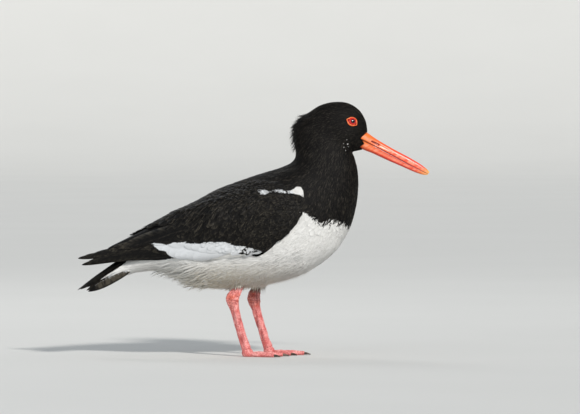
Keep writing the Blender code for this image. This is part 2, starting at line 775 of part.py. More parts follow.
def make_tail():
    root = moved_forward(BODY_SECTIONS["tail_root"], -GAP)
    core = section_loft("tail", [root, *TAIL_CORE_SECTIONS], 2, TAIL_CORE_SIDES)
    tail = add_object("tail", core, BIRD, "black_feather")
    shares = [2 * k / (TAIL_FEATHERS - 1) - 1 for k in range(TAIL_FEATHERS)]
    union_of(tail, [tail_vane(f"rectrix_{k}", share) for k, share in enumerate(shares)])
    keep_largest(tail)


def make_body():
    """Head, neck, back and torso, parted from one form by thin cuts."""
    add_object("head", cut_by_plane(body_mesh("head"), HEAD_CUT, True), BIRD, "black_feather")
    neck = cut_by_plane(cut_by_plane(body_mesh("neck"), HEAD_CUT, False), YOKE_CUT, True)
    add_object("neck", neck, BIRD, "black_feather")
    back = cut_by_plane(cut_by_plane(body_mesh("back"), YOKE_CUT, False), BACK_CUT, True)
    add_object("back", back, BIRD, "black_feather")
    torso = cut_by_plane(cut_by_plane(body_mesh("torso"), YOKE_CUT, False), BACK_CUT, False)
    add_object("torso", torso, BIRD, "white_feather")


def make_wing(side_name, side):
    name = f"wing_{side_name}"
    wing = add_object(name, wing_core(name, side), BIRD, "black_feather")
    vanes = []
    for tier_name, tier in WING_TIERS.items():
        stations = LONG_VANE_STATIONS if tier_name in LONG_TIERS else SHORT_VANE_STATIONS
        for k in range(tier.count):
            share = k / (tier.count - 1)
            vanes.append(wing_vane(f"{tier_name}_{k}", tier, stations, share, side))
    union_of(wing, vanes)
    boolean(wing, bpy.data.objects["grown_body"], solver="MANIFOLD")
    keep_largest(wing)


clear_scene()
DRAW = random.Random(FEATHER_SEED)
BIRD = new_collection("oystercatcher")
CUTTERS = new_collection("cutters", hidden=True)
make_body()
add_cutter("grown_body", body_mesh("grown_body", GAP))
make_bill()
make_tail()
for side_key, side_sign in SIDES.items():
    make_eye(side_key, side_sign)
    make_wing(side_key, side_sign)
    make_leg(side_key, side_sign)
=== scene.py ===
"""The looks of the standing oystercatcher: skin, plumage, bill, eyes, legs and a plain studio."""

import json
import math

import bmesh
import bpy
import numpy as np
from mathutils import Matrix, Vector, noise
from mathutils.kdtree import KDTree

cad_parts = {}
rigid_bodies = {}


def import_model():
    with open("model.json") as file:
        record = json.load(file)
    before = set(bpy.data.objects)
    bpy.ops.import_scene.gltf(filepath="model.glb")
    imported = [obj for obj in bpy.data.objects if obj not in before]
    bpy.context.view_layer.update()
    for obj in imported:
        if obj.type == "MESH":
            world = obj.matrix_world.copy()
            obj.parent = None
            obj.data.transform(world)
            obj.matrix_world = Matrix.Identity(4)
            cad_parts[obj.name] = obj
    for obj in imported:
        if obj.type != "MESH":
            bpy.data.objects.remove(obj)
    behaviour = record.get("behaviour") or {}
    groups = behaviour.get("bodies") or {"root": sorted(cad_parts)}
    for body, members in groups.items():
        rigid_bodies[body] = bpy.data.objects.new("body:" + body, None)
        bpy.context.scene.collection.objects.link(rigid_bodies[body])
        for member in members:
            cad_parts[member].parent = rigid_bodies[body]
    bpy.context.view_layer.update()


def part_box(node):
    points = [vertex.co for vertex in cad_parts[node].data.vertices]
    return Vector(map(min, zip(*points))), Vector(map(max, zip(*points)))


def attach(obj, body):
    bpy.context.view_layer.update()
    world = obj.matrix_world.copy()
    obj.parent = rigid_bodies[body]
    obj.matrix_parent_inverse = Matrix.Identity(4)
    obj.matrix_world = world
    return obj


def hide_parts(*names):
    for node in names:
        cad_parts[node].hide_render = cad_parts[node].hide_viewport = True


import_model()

# Lengths are in millimetres until a mesh is made. The bird faces +X, its right side is
# towards -Y, and the soles lie on Z = 0.
MM = 0.001
GAP = 0.3
SIDES = {"right": -1, "left": 1}
DRAW = np.random.default_rng(11)

# The body's form, the same rounded sections as its solids: from the tail to the face, each
# a ring between a point on the back line and a point on the belly line.
#              back x, back z, belly x, belly z, half width
BODY_SECTIONS = {
    "tail_tip": (-161, 75.6, -158.5, 70.6, 5),
    "tail_middle": (-151, 82.0, -147.5, 73.4, 8.5),
    "tail_base": (-141, 88.2, -136, 77.0, 10),
    "tail_root": (-132, 94.5, -124.5, 81.5, 9),
    "undertail": (-117.5, 104, -114.5, 84, 14),
    "rump": (-97.5, 119, -96.5, 85, 23),
    "vent": (-78.5, 134, -79.5, 80.5, 33),
    "loin": (-59.5, 152, -64, 71.5, 41),
    "belly_rear": (-38.5, 165, -42.5, 68.5, 46),
    "belly": (-15.5, 174, -17.5, 68, 49),
    "belly_front": (6.5, 181.5, 9, 71, 50),
    "breast_low": (24.5, 187, 36.5, 77.5, 48.5),
    "breast": (35.5, 191.5, 61.5, 88.5, 45),
    "breast_top": (40.5, 195.5, 83, 106, 40),
    "yoke": (42.5, 200, 95.5, 127, 35),
    "neck_base": (42.5, 206, 102, 148, 31),
    "neck_low": (41.5, 213, 104.5, 168, 27.5),
    "neck": (40.5, 221, 104, 185, 24.5),
    "nape": (41.5, 230, 101, 198, 22),
    "throat": (46.5, 237, 99, 203, 20.5),
    "hind_crown": (57, 244.6, 99.5, 204.2, 19.5),
    "crown": (67.5, 251, 101.5, 204.8, 19),
    "fore_crown": (80.5, 254, 103.5, 205.2, 18),
    "brow": (94, 253.0, 105.5, 205.6, 16),
    "forehead": (105.4, 246.2, 107.5, 206, 13),
    "lore": (112, 235.4, 109, 206.2, 9.5),
    "bill_root": (114.2, 223.4, 109.5, 206.5, 6),
}
BED_REAR_SECTIONS = {
    "bed_tip": (-178.5, 96.5, -178.5, 89, 2.5),
    "bed_primaries": (-155.5, 103.2, -155.5, 88, 6),
    "bed_tail": (-135.5, 112, -135.5, 86, 11),
    "bed_rump": (-113.5, 123, -113.5, 82, 18),
    "bed_tertials": (-88.5, 136.5, -88.5, 78, 27),
    "bed_loin": (-63.5, 150, -63.5, 72, 37),
}
BED_FRONT = ("belly_rear", "belly", "belly_front", "breast_low", "breast", "breast_top", "yoke")
ROUNDNESS = 2.25
SKIN_DEPTH = 1.3
SKIN_START = 1.2

# The folded wing: its edges as height against distance along the bird, and its thickness.
WING_TOP = ((-174, 99), (-155.5, 104), (-135.5, 112.5), (-113.5, 123.5), (-88.5, 137),
            (-63.5, 149), (-38.5, 158.5), (-13.5, 164), (10.5, 167.5), (30.5, 166.5),
            (43.5, 162.5), (50.5, 155))
WING_BOTTOM = ((-174, 91.8), (-155.5, 92), (-135.5, 94), (-113.5, 95), (-88.5, 95.5),
               (-63.5, 96), (-38.5, 97), (-13.5, 99.5), (10.5, 106.5), (30.5, 120),
               (43.5, 134), (50.5, 146))
WING_THICKNESS, WING_REAR_THICKNESS = 5.0, 2.2
WING_SEAM = 0.8
WING_FRONT_SHARE, WING_FRONT_END = 0.72, 1.02
# Between these values of q the wing rises gently out of the back.
WING_RISE = (-0.15, 0.3)

# How the small feathers lie on the body: at each place of the side view, the direction in
# which they point, in degrees from straight ahead over the top, and their length.
#           x, z, direction, length
FEATHER_GUIDES = {
    "bill_base": (111, 220, 172, 2.3),
    "chin": (106, 208, 196, 2.6),
    "forehead": (106, 241, 140, 2.5),
    "brow": (95, 252, 170, 3.2),
    "eye": (99, 235, 180, 2.4),
    "crown": (78, 254, 183, 4.4),
    "hind_crown": (57, 245, 212, 6.0),
    "cheek": (84, 226, 196, 4.4),
    "ear": (68, 224, 212, 5.4),
    "nape": (44, 231, 236, 9.0),
    "hind_neck": (42, 214, 246, 9.0),
    "neck_side": (68, 200, 246, 8.0),
    "throat": (100, 196, 262, 6.0),
    "fore_neck": (104, 168, 266, 8.5),
    "yoke": (42, 199, 218, 10.0),
    "mantle": (6, 181, 200, 12.0),
    "back": (-38, 165, 206, 14.0),
    "lower_back": (-78, 134, 212, 14.0),
    "rump": (-117, 104, 214, 14.0),
    "tail_covert": (-150, 81, 212, 15.0),
    "neck_base": (80, 150, 248, 10.0),
    "breast_front": (95, 127, 252, 10.5),
    "breast": (80, 105, 232, 12.0),
    "breast_side": (55, 125, 226, 12.0),
    "breast_low": (58, 88, 204, 12.5),
    "belly": (9, 71, 184, 14.0),
    "belly_rear": (-42, 68, 180, 15.0),
    "flank": (0, 100, 192, 14.0),
    "vent": (-78, 80, 168, 15.0),
    "undertail": (-114, 84, 190, 15.0),
    "undertail_covert": (-148, 73, 212, 15.0),
}


def smooth_rows(rows, t):
    """Catmull-Rom through the rows at each t, counted in rows."""
    rows = np.asarray(rows, float)
    padded = np.vstack([2 * rows[0] - rows[1], rows, 2 * rows[-1] - rows[-2]])
    i = np.clip(t.astype(int), 0, len(rows) - 2)
    f = (t - i)[:, None]
    before, a, b, after = (padded[i + k] for k in range(4))
    return 0.5 * (
        2 * a + (b - before) * f
        + (2 * before - 5 * a + 4 * b - after) * f**2
        + (3 * a - before - 3 * b + after) * f**3
    )


def section_points(rows, angles):
    """Points round each section: angle 0 is the back line, pi the belly line, and the left
    side of the bird lies between."""
    middle = (rows[:, 0:2] + rows[:, 2:4]) / 2
    half = (rows[:, 0:2] - rows[:, 2:4]) / 2
    power = 2 / ROUNDNESS
    up = np.sign(np.cos(angles)) * np.abs(np.cos(angles)) ** power
    out = np.sign(np.sin(angles)) * np.abs(np.sin(angles)) ** power
    x = middle[:, :1] + half[:, :1] * up
    z = middle[:, 1:] + half[:, 1:] * up
    return np.stack([x, out * rows[:, 4:5], z], axis=-1)


def unit(vectors):
    return vectors / np.maximum(np.linalg.norm(vectors, axis=-1, keepdims=True), 1e-9)


class Surface:
    """A smooth surface as a fine grid of points, looked up by two coordinates."""

    def __init__(self, points, u_range, v_range, closed=False):
        self.points = points
        self.ranges = (u_range, v_range)
        self.closed = closed
        rows, columns = points.shape[:2]
        u_step = (u_range[1] - u_range[0]) / (rows - 1)
        v_step = (v_range[1] - v_range[0]) / (columns if closed else columns - 1)
        self.along = np.gradient(points, u_step, axis=0)
        if closed:
            self.across = (np.roll(points, -1, 1) - np.roll(points, 1, 1)) / (2 * v_step)
        else:
            self.across = np.gradient(points, v_step, axis=1)
        normals = unit(np.cross(self.along, self.across))
        middle = points.mean(axis=1, keepdims=True)
        outwards = ((points - middle) * normals).sum(-1).mean()
        self.normals = normals if outwards > 0 or not closed else -normals

    def shares(self, uv):
        """Both coordinates as shares of their ranges."""
        (u0, u1), (v0, v1) = self.ranges
        return (uv[..., 0] - u0) / (u1 - u0), (uv[..., 1] - v0) / (v1 - v0)

    def look(self, grid, uv):
        """The grid's value at each place, mixed from its four nearest points."""
        rows, columns = grid.shape[:2]
        a, b = self.shares(uv)
        a = np.clip(a, 0, 1) * (rows - 1)
        i = np.minimum(a.astype(int), rows - 2)
        if self.closed:
            b = (b % 1) * columns
            j = b.astype(int)
            g = (b - j)[..., None]
            j, k = j % columns, (j + 1) % columns
        else:
            b = np.clip(b, 0, 1) * (columns - 1)
            j = np.minimum(b.astype(int), columns - 2)
            g = (b - j)[..., None]
            k = j + 1
        f = (a - i)[..., None]
        low = grid[i, j] * (1 - g) + grid[i, k] * g
        high = grid[i + 1, j] * (1 - g) + grid[i + 1, k] * g
        return low * (1 - f) + high * f

    def point(self, uv):
        return self.look(self.points, uv)

    def normal(self, uv):
        return unit(self.look(self.normals, uv))

    def tangent(self, uv, direction):
        """The direction laid flat on the surface."""
        normal = self.normal(uv)
        return unit(direction - normal * (direction * normal).sum(-1, keepdims=True))

    def move(self, uv, step):
        """The coordinates reached by a short step through space along the surface."""
        du, dv = self.look(self.along, uv), self.look(self.across, uv)
        a, b, c = (du * du).sum(-1), (du * dv).sum(-1), (dv * dv).sum(-1)
        p, q = (du * step).sum(-1), (dv * step).sum(-1)
        scale = np.maximum(a * c - b * b, 1e-9)
        return uv + np.stack([(c * p - b * q) / scale, (a * q - b * p) / scale], axis=-1)


BODY_ROWS = np.array(list(BODY_SECTIONS.values()), float)
RINGS_PER_SECTION = 16
BODY_COLUMNS = 240


def make_body_surface():
    t = np.linspace(0, len(BODY_ROWS) - 1, (len(BODY_ROWS) - 1) * RINGS_PER_SECTION + 1)
    angles = 2 * math.pi * np.arange(BODY_COLUMNS) / BODY_COLUMNS
    points = section_points(smooth_rows(BODY_ROWS, t), angles[None, :])
    return Surface(points, (0, len(BODY_ROWS) - 1), (0, 2 * math.pi), closed=True)


def along_line(line, x):
    xs, zs = zip(*line)
    return np.interp(x, xs, zs)


def angle_at_height(rows, z):
    """The angle at which each bed section reaches height z."""
    share = (z - (rows[:, 1] + rows[:, 3]) / 2) / ((rows[:, 1] - rows[:, 3]) / 2)
    share = np.clip(share, -0.999, 0.999)
    return np.arccos(np.sign(share) * np.abs(share) ** (ROUNDNESS / 2))


def wing_rise(x, q):
    """How far the wing's smooth surface stands over its bed."""
    share = (x - WING_TOP[0][0]) / (WING_TOP[-1][0] - WING_TOP[0][0])
    thick = WING_REAR_THICKNESS + (WING_THICKNESS - WING_REAR_THICKNESS) * np.minimum(1, 2 * share)
    front = np.clip((share - WING_FRONT_SHARE) / (WING_FRONT_END - WING_FRONT_SHARE), 0, 1)
    climb = np.clip((q - WING_RISE[0]) / (WING_RISE[1] - WING_RISE[0]), 0, 1)
    upper = climb**2 * (3 - 2 * climb)
    lower = np.sqrt(1 - np.abs(2 * np.clip(q, 0.5, 1) - 1) ** 4)
    return thick * np.sqrt(1 - front**2) * np.where(q < 0.5, upper, lower)


WING_X_RANGE = (-178.0, 56.0)
WING_Q_RANGE = (-0.6, 1.25)
WING_ROWS, WING_COLUMNS = 260, 110


def wing_bed(x):
    """The sections under the wing at each x, and the angles of its upper and lower edges."""
    bed = np.array([*BED_REAR_SECTIONS.values(), *(BODY_SECTIONS[n] for n in BED_FRONT)], float)
    fine = np.linspace(0, len(bed) - 1, 2000)
    fine_rows = smooth_rows(bed, fine)
    rows = smooth_rows(bed, np.interp(x, (fine_rows[:, 0] + fine_rows[:, 2]) / 2, fine))
    seam = np.arcsin(np.clip(WING_SEAM / rows[:, 4], 0, 1) ** (ROUNDNESS / 2))
    top = np.maximum(angle_at_height(rows, along_line(WING_TOP, x)), seam)
    return rows, top, angle_at_height(rows, along_line(WING_BOTTOM, x))


def middle_q(x):
    """Where the bird's middle line runs, as the wing's coordinate q at each x."""
    _, top, bottom = wing_bed(x)
    return -top / (bottom - top)


def make_wing_surface():
    """The left wing's outside, by x and by q, the share of the way from its upper edge to
    its lower one. It goes on over the body past both edges."""
    x = np.linspace(*WING_X_RANGE, WING_ROWS)
    rows, top, bottom = wing_bed(x)
    q = np.linspace(*WING_Q_RANGE, WING_COLUMNS)
    angles = top[:, None] + (bottom - top)[:, None] * q[None, :]
    base = section_points(rows, angles)
    flat = Surface(base, WING_X_RANGE, WING_Q_RANGE)
    lift = GAP + wing_rise(x[:, None], q[None, :])
    return Surface(base + flat.normals * lift[..., None], WING_X_RANGE, WING_Q_RANGE)


BODY = make_body_surface()
WING = make_wing_surface()


def mirrored(points, side):
    """Points or directions of the bird's left side, on the side asked for."""
    return points * np.array([1.0, side, 1.0])


# Markings. Each feather carries, at every corner, its distance in millimetres inside the
# white (above nought) or the black (below it), and the finish draws the edge there.
BIB_EDGE = ((-200, 400), (-84, 400), (-72, 132), (-50, 130), (44, 145.5), (50, 145), (54, 143.2),
            (58, 139.2), (62.5, 135), (66.7, 132), (71.5, 131.5), (78, 134.5), (82, 135), (86.5, 132),
            (95.5, 128), (130, 125))
# Over the tail's root the body is black above this line.
TAIL_TOP_EDGE = ((-161, 72.5), (-151, 78.2), (-141, 84.6), (-133, 89.6), (-126, 95), (-118, 400))
WING_BAR = ((-102.5, 114.4), (-94, 113.2), (-85.7, 112.4), (-79, 114.8), (-67.5, 115.8),
            (-51, 114.6), (-36, 115.6), (-27.7, 115.4), (-19.4, 112.6), (-11, 111.2),
            (-2.8, 109.4), (9.5, 107.0), (8, 92), (-27.7, 90),
            (-51, 90), (-68, 90), (-77.4, 98.3), (-85.7, 102.4), (-87.4, 105.4),
            (-94, 106.6), (-98, 110.0))
SHOULDER_PATCH = ((20, 166.6), (27, 167.2), (33, 165.6), (38.5, 166.8), (43, 170.4), (47.5, 169.8),
                  (49.5, 166), (50.4, 159.5), (46, 162.2), (37, 164.0), (27, 164.4))
SHOULDER_LINE = ((4.5, 166.4), (11, 166.8), (17.5, 165.2), (12, 163.4), (6.5, 163.6))
BAR_FLECKS = (((-13.8, 107.4), (-9.5, 108.7), (-6, 107.8), (-9, 106.4)),
              ((-14.5, 104.4), (-10, 106.0), (-5, 105.4), (-11, 103.4)),
              ((-3.5, 105.8), (3, 107.2), (5.5, 106.2), (-1, 104.8)),
              ((-8, 103.0), (-4, 103.8), (-2.5, 103.0), (-6, 102.2)))
# Tiny white feathers on the cheek: x, z, length, half width.
CHEEK_SPECKS = ((94.4, 212.9, 1.5, 0.55), (90.0, 212.9, 1.1, 0.18), (90.4, 209.3, 1.4, 0.24),
                (91.6, 206.3, 1.5, 0.24), (93.6, 216.7, 1.0, 0.16), (94.8, 209.9, 1.0, 0.16))


def inside_outline(x, z, outline):
    """The distance inside a closed outline of the side view, below nought outside it."""
    x, z = np.asarray(x), np.asarray(z)
    nearest = np.full(x.shape, 1e9)
    inside = np.zeros(x.shape, bool)
    for (x0, z0), (x1, z1) in zip(outline, outline[1:] + outline[:1]):
        dx, dz = x1 - x0, z1 - z0
        share = np.clip(((x - x0) * dx + (z - z0) * dz) / (dx * dx + dz * dz), 0, 1)
        gap = np.hypot(x - x0 - share * dx, z - z0 - share * dz)
        nearest = np.minimum(nearest, gap)
        if dz:
            crosses = (z0 > z) != (z1 > z)
            inside ^= crosses & (x < x0 + (z - z0) * dx / dz)
    return np.where(inside, nearest, -nearest)


def body_mark(points, shift=0.0):
    """The marking of the body's skin and small feathers: the black bib's edge and the white
    of the shoulder. Each feather's shift makes the edges ragged."""
    x, y, z = points[..., 0], points[..., 1], points[..., 2]
    bib = 0.85 * (along_line(BIB_EDGE, x) - z) + shift
    shoulder = np.where(np.abs(y) > 18, inside_outline(x, z, SHOULDER_PATCH), -9)
    return np.minimum(np.maximum(bib, shoulder), along_line(TAIL_TOP_EDGE, x) - z)


def all_white(points, shift):
    return np.full(points.shape[:-1], 6.0)


def wing_mark(points, shift=0.0):
    """The marking of the wing's feathers: a white bar and a white shoulder patch."""
    x, z = points[..., 0], points[..., 2]
    marks = [inside_outline(x, z, o) for o in (WING_BAR, SHOULDER_PATCH, SHOULDER_LINE)]
    flecks = [inside_outline(x, z, outline) for outline in BAR_FLECKS]
    return np.minimum(np.maximum.reduce(marks), -1.6 * np.maximum.reduce(flecks)) + shift


def stain(points):
    """How creamy and dim the white is: most under the belly, between and behind the legs, partly a real cream stain
    and partly painted shade on the low underside.
    """
    x, z = points[..., 0], points[..., 2]
    low = np.clip((98 - z) / 22, 0, 1)
    return low * np.clip(1.1 - np.abs(x + 28) / 95, 0, 1)


# Outlines of feathers: shares of the length and of the half width, from root to tip.
SOFT_LEAF = ((0, 0.35), (0.3, 0.86), (0.62, 1.0), (0.86, 0.66), (1.0, 0.1))
SPEAR = ((0, 0.5), (0.4, 1.0), (0.75, 0.62), (1.0, 0.06))
TUFT = ((0, 0.7), (0.25, 1.0), (0.5, 0.84), (0.75, 0.52), (0.9, 0.28), (1.0, 0.05))
COVERT = ((0, 0.5), (0.25, 0.86), (0.5, 1.0), (0.72, 0.98), (0.87, 0.78), (0.96, 0.44), (1.0, 0.12))
FLIGHT = ((0, 0.4), (0.12, 0.72), (0.3, 0.9), (0.5, 1.0), (0.68, 0.98), (0.8, 0.88),
          (0.89, 0.7), (0.95, 0.48), (0.985, 0.26), (1.0, 0.08))
NARROW = (-1, 0, 1)
BROAD = (-1, -0.6, -0.09, 0, 0.09, 0.6, 1)
BARB_ANGLE = math.radians(32)
PALE_RARITY = 5


class Coat:
    """Gathers feathers of one piece and makes them one mesh."""

    def __init__(self, mark):
        self.mark = mark
        self.parts = []
        self.corners = 0

    def add(self, place, count, outline, across, lengths, half_widths, roots_uv, lift,
            camber=0.12, ridge=0.0, ragged=1.0, side=1, bow=0.33, pale=None):
        """Adds a block of like feathers. place(share, across) gives a point and a normal
        for each feather, and lift(share) its height over the surface. Where pale is given, a
        few of the feathers get a pale streak: partly worn fringes, partly painted highlight."""
        stations, columns = len(outline), len(across)
        points = np.empty((count, stations, columns, 3))
        normals = np.empty_like(points)
        for s, (share, width) in enumerate(outline):
            for c, b in enumerate(across):
                point, normal = place(share, b * width)
                height = lift(share) - camber * half_widths * (b * width) ** 2
                if b == 0 or columns == 3:
                    height = height + ridge * (1 - abs(b)) * width
                points[:, s, c] = point + normal * height[:, None]
                normals[:, s, c] = normal
        shares = np.array([share for share, _ in outline])[None, :, None]
        widths = np.array([width for _, width in outline])[None, :, None]
        b = np.array(across, float)[None, None, :]
        far = shares * lengths[:, None, None] * np.ones_like(b)
        wide = widths * b * half_widths[:, None, None]
        barb_run = np.abs(wide) * math.cos(BARB_ANGLE) - far * math.sin(BARB_ANGLE)
        slant = far * math.cos(BARB_ANGLE) + np.abs(wide) * math.sin(BARB_ANGLE)
        ids = DRAW.random(count)[:, None, None] * 97 + np.zeros_like(wide)
        barb = np.stack([barb_run, slant, ids + (wide > 0)], axis=-1)
        shift = (DRAW.normal(0, 1, count) * ragged)[:, None, None]
        found = self.mark(points, shift)
        tones = DRAW.random(count)
        # The black pales towards each feather's sides and tip: partly worn fringes, partly painted highlight.
        edge = np.abs(b) * np.ones_like(far) * np.clip(2 * shares, 0, 1)
        edge = np.maximum(edge, np.clip((shares - 0.8) * 5, 0, 1))
        if pale is not None:
            tones = pale * tones**PALE_RARITY
            edge = np.ones_like(edge)
        patch = np.stack([shares * np.ones_like(b) - 0.5, 0.5 * b * np.ones_like(shares)], axis=-1)
        uv = roots_uv[:, None, None, :] + BAKE_PATCH * patch
        tilted = unit(normals + sideways(points) * (bow * b)[..., None])
        self.parts.append({
            "points": mirrored(points, side), "normals": mirrored(tilted, side),
            "barb": barb, "mark": np.clip(found, -6, 6), "edge": edge,
            "tone": tones[:, None, None] + np.zeros_like(far), "uv": uv, "side": side,
            "stain": stain(points),
        })

    def faces(self, stations, columns, side):
        """The faces of one feather: top, underside and both ends."""
        faces = []
        for s in range(stations - 1):
            here, there = s * columns, (s + 1) * columns
            for c in range(columns - 1):
                faces.append((here + c, there + c, there + c + 1, here + c + 1))
            faces.append((here, here + columns - 1, there + columns - 1, there))
        ends = [tuple(range(columns)), tuple(range(stations * columns - 1, (stations - 1) * columns - 1, -1))]
        if side < 0:
            faces = [face[::-1] for face in faces]
            ends = [face[::-1] for face in ends]
        return np.array(faces), ends

    def make(self, name, finish):
        """The whole piece as one mesh object."""
        mesh = bpy.data.meshes.new(name)
        values = {key: [] for key in ("points", "normals", "barb", "mark", "edge", "tone", "uv", "stain")}
        faces, start = [], 0
        for part in self.parts:
            count, stations, columns = part["points"].shape[:3]
            size = stations * columns
            offsets = start + size * np.arange(count)
            quads, ends = self.faces(stations, columns, part["side"])
            faces.extend((offsets[:, None, None] + quads[None]).reshape(-1, 4).tolist())
            for end in ends:
                faces.extend((offsets[:, None] + np.array(end)[None]).tolist())
            for key, stored in values.items():
                array = part[key]
                stored.append(array.reshape(count * size, *array.shape[3:]))
            start += count * size
        values = {key: np.concatenate(stored) for key, stored in values.items()}
        mesh.from_pydata((values["points"] * MM).tolist(), [], faces)
        mesh.shade_smooth()
        add_attributes(mesh, values)
        mesh.normals_split_custom_set_from_vertices(unit(values["normals"]).tolist())
        return finish_object(name, mesh, finish)


def sideways(points):
    """The direction across each feather, from its left edge to its right one."""
    return unit(points[:, :, -1:] - points[:, :, :1]) + np.zeros_like(points)


BAKE_PATCH = 0.003


def add_attributes(mesh, values):
    """Writes the per-corner values that the finishes read, and the map for baking."""
    for key in ("mark", "edge", "tone", "stain"):
        made = mesh.attributes.new(key, "FLOAT", "POINT")
        made.data.foreach_set("value", np.ascontiguousarray(values[key], np.float32))
    barb = mesh.attributes.new("barb", "FLOAT_VECTOR", "POINT")
    barb.data.foreach_set("vector", np.ascontiguousarray(values["barb"], np.float32).ravel())
    corner = np.empty(len(mesh.loops), np.int32)
    mesh.loops.foreach_get("vertex_index", corner)
    layer = mesh.uv_layers.new(name="OFBake")
    uv = np.ascontiguousarray(np.clip(values["uv"], 0, 1)[corner], np.float32)
    layer.uv.foreach_set("vector", uv.ravel())


def finish_object(name, mesh, finish):
    """Puts a finished mesh in the scene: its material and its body."""
    mesh.name = name
    obj = bpy.data.objects.new(name, mesh)
    bpy.context.scene.collection.objects.link(obj)
    mesh.materials.clear()
    mesh.materials.append(finish)
    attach(obj, "root")
    return obj


# Materials. Every finish is a Principled shader fed by the values that the meshes carry.
class Nodes:
    """Short ways to add nodes to one material."""

    def __init__(self, name, **constants):
        self.material = bpy.data.materials.new(name)
        self.material.use_nodes = True
        self.tree = self.material.node_tree
        self.shader = self.tree.nodes["Principled BSDF"]
        for socket, value in constants.items():
            self.shader.inputs[socket.replace("_", " ")].default_value = value

    def add(self, kind, **settings):
        node = self.tree.nodes.new(kind)
        for key, value in settings.items():
            setattr(node, key, value)
        return node

    def link(self, output, socket):
        self.tree.links.new(output, socket)

    def feed(self, node, **inputs):
        """Sets or links a node's inputs, by name or by number."""
        for key, value in inputs.items():
            key = int(key[1:]) if key[0] == "n" and key[1:].isdigit() else key.replace("_", " ")
            if isinstance(value, bpy.types.NodeSocket):
                self.link(value, node.inputs[key])
            else:
                node.inputs[key].default_value = value
        return node

    def carried(self, name):
        return self.add("ShaderNodeAttribute", attribute_name=name)

    def math(self, operation, a, b=0.0, clamp=False):
        node = self.add("ShaderNodeMath", operation=operation, use_clamp=clamp)
        return self.feed(node, n0=a, n1=b).outputs[0]

    def mix(self, share, a, b):
        node = self.add("ShaderNodeMix", data_type="RGBA")
        for index, value in ((0, share), (6, a), (7, b)):
            if isinstance(value, bpy.types.NodeSocket):
                self.link(value, node.inputs[index])
            else:
                node.inputs[index].default_value = value if index == 0 else (*value, 1)
        return node.outputs[2]

    def remap(self, value, low, high, to_low=0.0, to_high=1.0):
        node = self.add("ShaderNodeMapRange")
        self.feed(node, Value=value, From_Min=low, From_Max=high, To_Min=to_low, To_Max=to_high)
        return node.outputs[0]

    def noise(self, vector, scale, detail=2.0, stretch=(1, 1, 1)):
        mapping = self.add("ShaderNodeMapping")
        self.feed(mapping, Vector=vector, Scale=stretch)
        node = self.add("ShaderNodeTexNoise")
        self.feed(node, Vector=mapping.outputs[0], Scale=scale, Detail=detail)
        return node.outputs["Fac"]

    def bump(self, height, strength, distance):
        node = self.add("ShaderNodeBump")
        self.feed(node, Height=height, Strength=strength, Distance=distance)
        return node.outputs[0]


BLACK_DEEP = (0.0024, 0.0022, 0.0024)
# The paler brownish black mixed in at feather edges, tips and barb streaks: partly worn fringes, partly painted
# highlight standing in for the sheen.
BLACK_WORN_AND_SHEEN = (0.105, 0.092, 0.070)
WHITE_CLEAN = (0.86, 0.855, 0.83)
WHITE_COOL = (0.68, 0.70, 0.72)
# A darker cream for the white low down: partly a real stain, partly painted shade.
WHITE_CREAM_AND_SHADE = (0.62, 0.53, 0.36)


def plumage(name, clear, roughness, barb_strength, wear_and_sheen, **constants):
    """Black and white feathers, with the barbs as fine slanted streaks."""
    nodes = Nodes(name, **constants)
    barb = nodes.carried("barb").outputs["Vector"]
    streaks = nodes.noise(barb, 1.0, 1.0, (3.2, 0.22, 1.0))
    blur = nodes.noise(barb, 0.5, 2.0, (1.0, 0.3, 1.0))
    edge_noise = nodes.math("MULTIPLY_ADD", streaks, 1.6)
    edge_noise.node.inputs[2].default_value = -0.8
    mark = nodes.math("ADD", nodes.carried("mark").outputs["Fac"], edge_noise)
    white = nodes.remap(mark, -0.25, 0.25)
    tone = nodes.carried("tone").outputs["Fac"]
    # Painted highlight and wear: the black pales at feather edges and tips, along the barb streaks and on the pale
    # streak feathers.
    worn_and_sheen = nodes.math("MULTIPLY", nodes.carried("edge").outputs["Fac"], tone)
    worn_and_sheen = nodes.math("MULTIPLY", worn_and_sheen, nodes.remap(blur, 0.35, 0.7))
    worn_and_sheen = nodes.math("ADD", worn_and_sheen, nodes.remap(streaks, 0.5, 0.8, 0.0, 0.12), clamp=True)
    black = nodes.mix(nodes.math("MULTIPLY", worn_and_sheen, wear_and_sheen), BLACK_DEEP, BLACK_WORN_AND_SHEEN)
    # Painted shade and stain: the white turns a darker cream low under the belly.
    cream_and_shade = nodes.math("MULTIPLY", nodes.carried("stain").outputs["Fac"], nodes.remap(blur, 0.2, 0.7))
    clean = nodes.mix(cream_and_shade, clear, WHITE_CREAM_AND_SHADE)
    shade = nodes.remap(tone, 0, 1, 0.93, 1.0)
    shade = nodes.math("MULTIPLY", shade, nodes.remap(streaks, 0.3, 0.7, 0.95, 1.0))
    dimmed = nodes.mix(shade, (0, 0, 0), clean)
    nodes.feed(nodes.shader, Base_Color=nodes.mix(white, black, dimmed))
    rough = nodes.remap(white, 0, 1, roughness, 0.75)
    nodes.feed(nodes.shader, Roughness=rough)
    nodes.feed(nodes.shader, Normal=nodes.bump(streaks, barb_strength, 0.0003))
    return nodes.material


FEATHER_GLOW = {"Subsurface_Weight": 0.2, "Subsurface_Radius": (1.0, 0.95, 0.85), "Subsurface_Scale": 0.0015}
SMALL_FEATHER = plumage("small_feather", WHITE_CLEAN, 0.55, 0.5, 0.38, Specular_IOR_Level=0.1, **FEATHER_GLOW)
FLIGHT_FEATHER = plumage("flight_feather", WHITE_COOL, 0.48, 0.6, 0.55, Specular_IOR_Level=0.12)


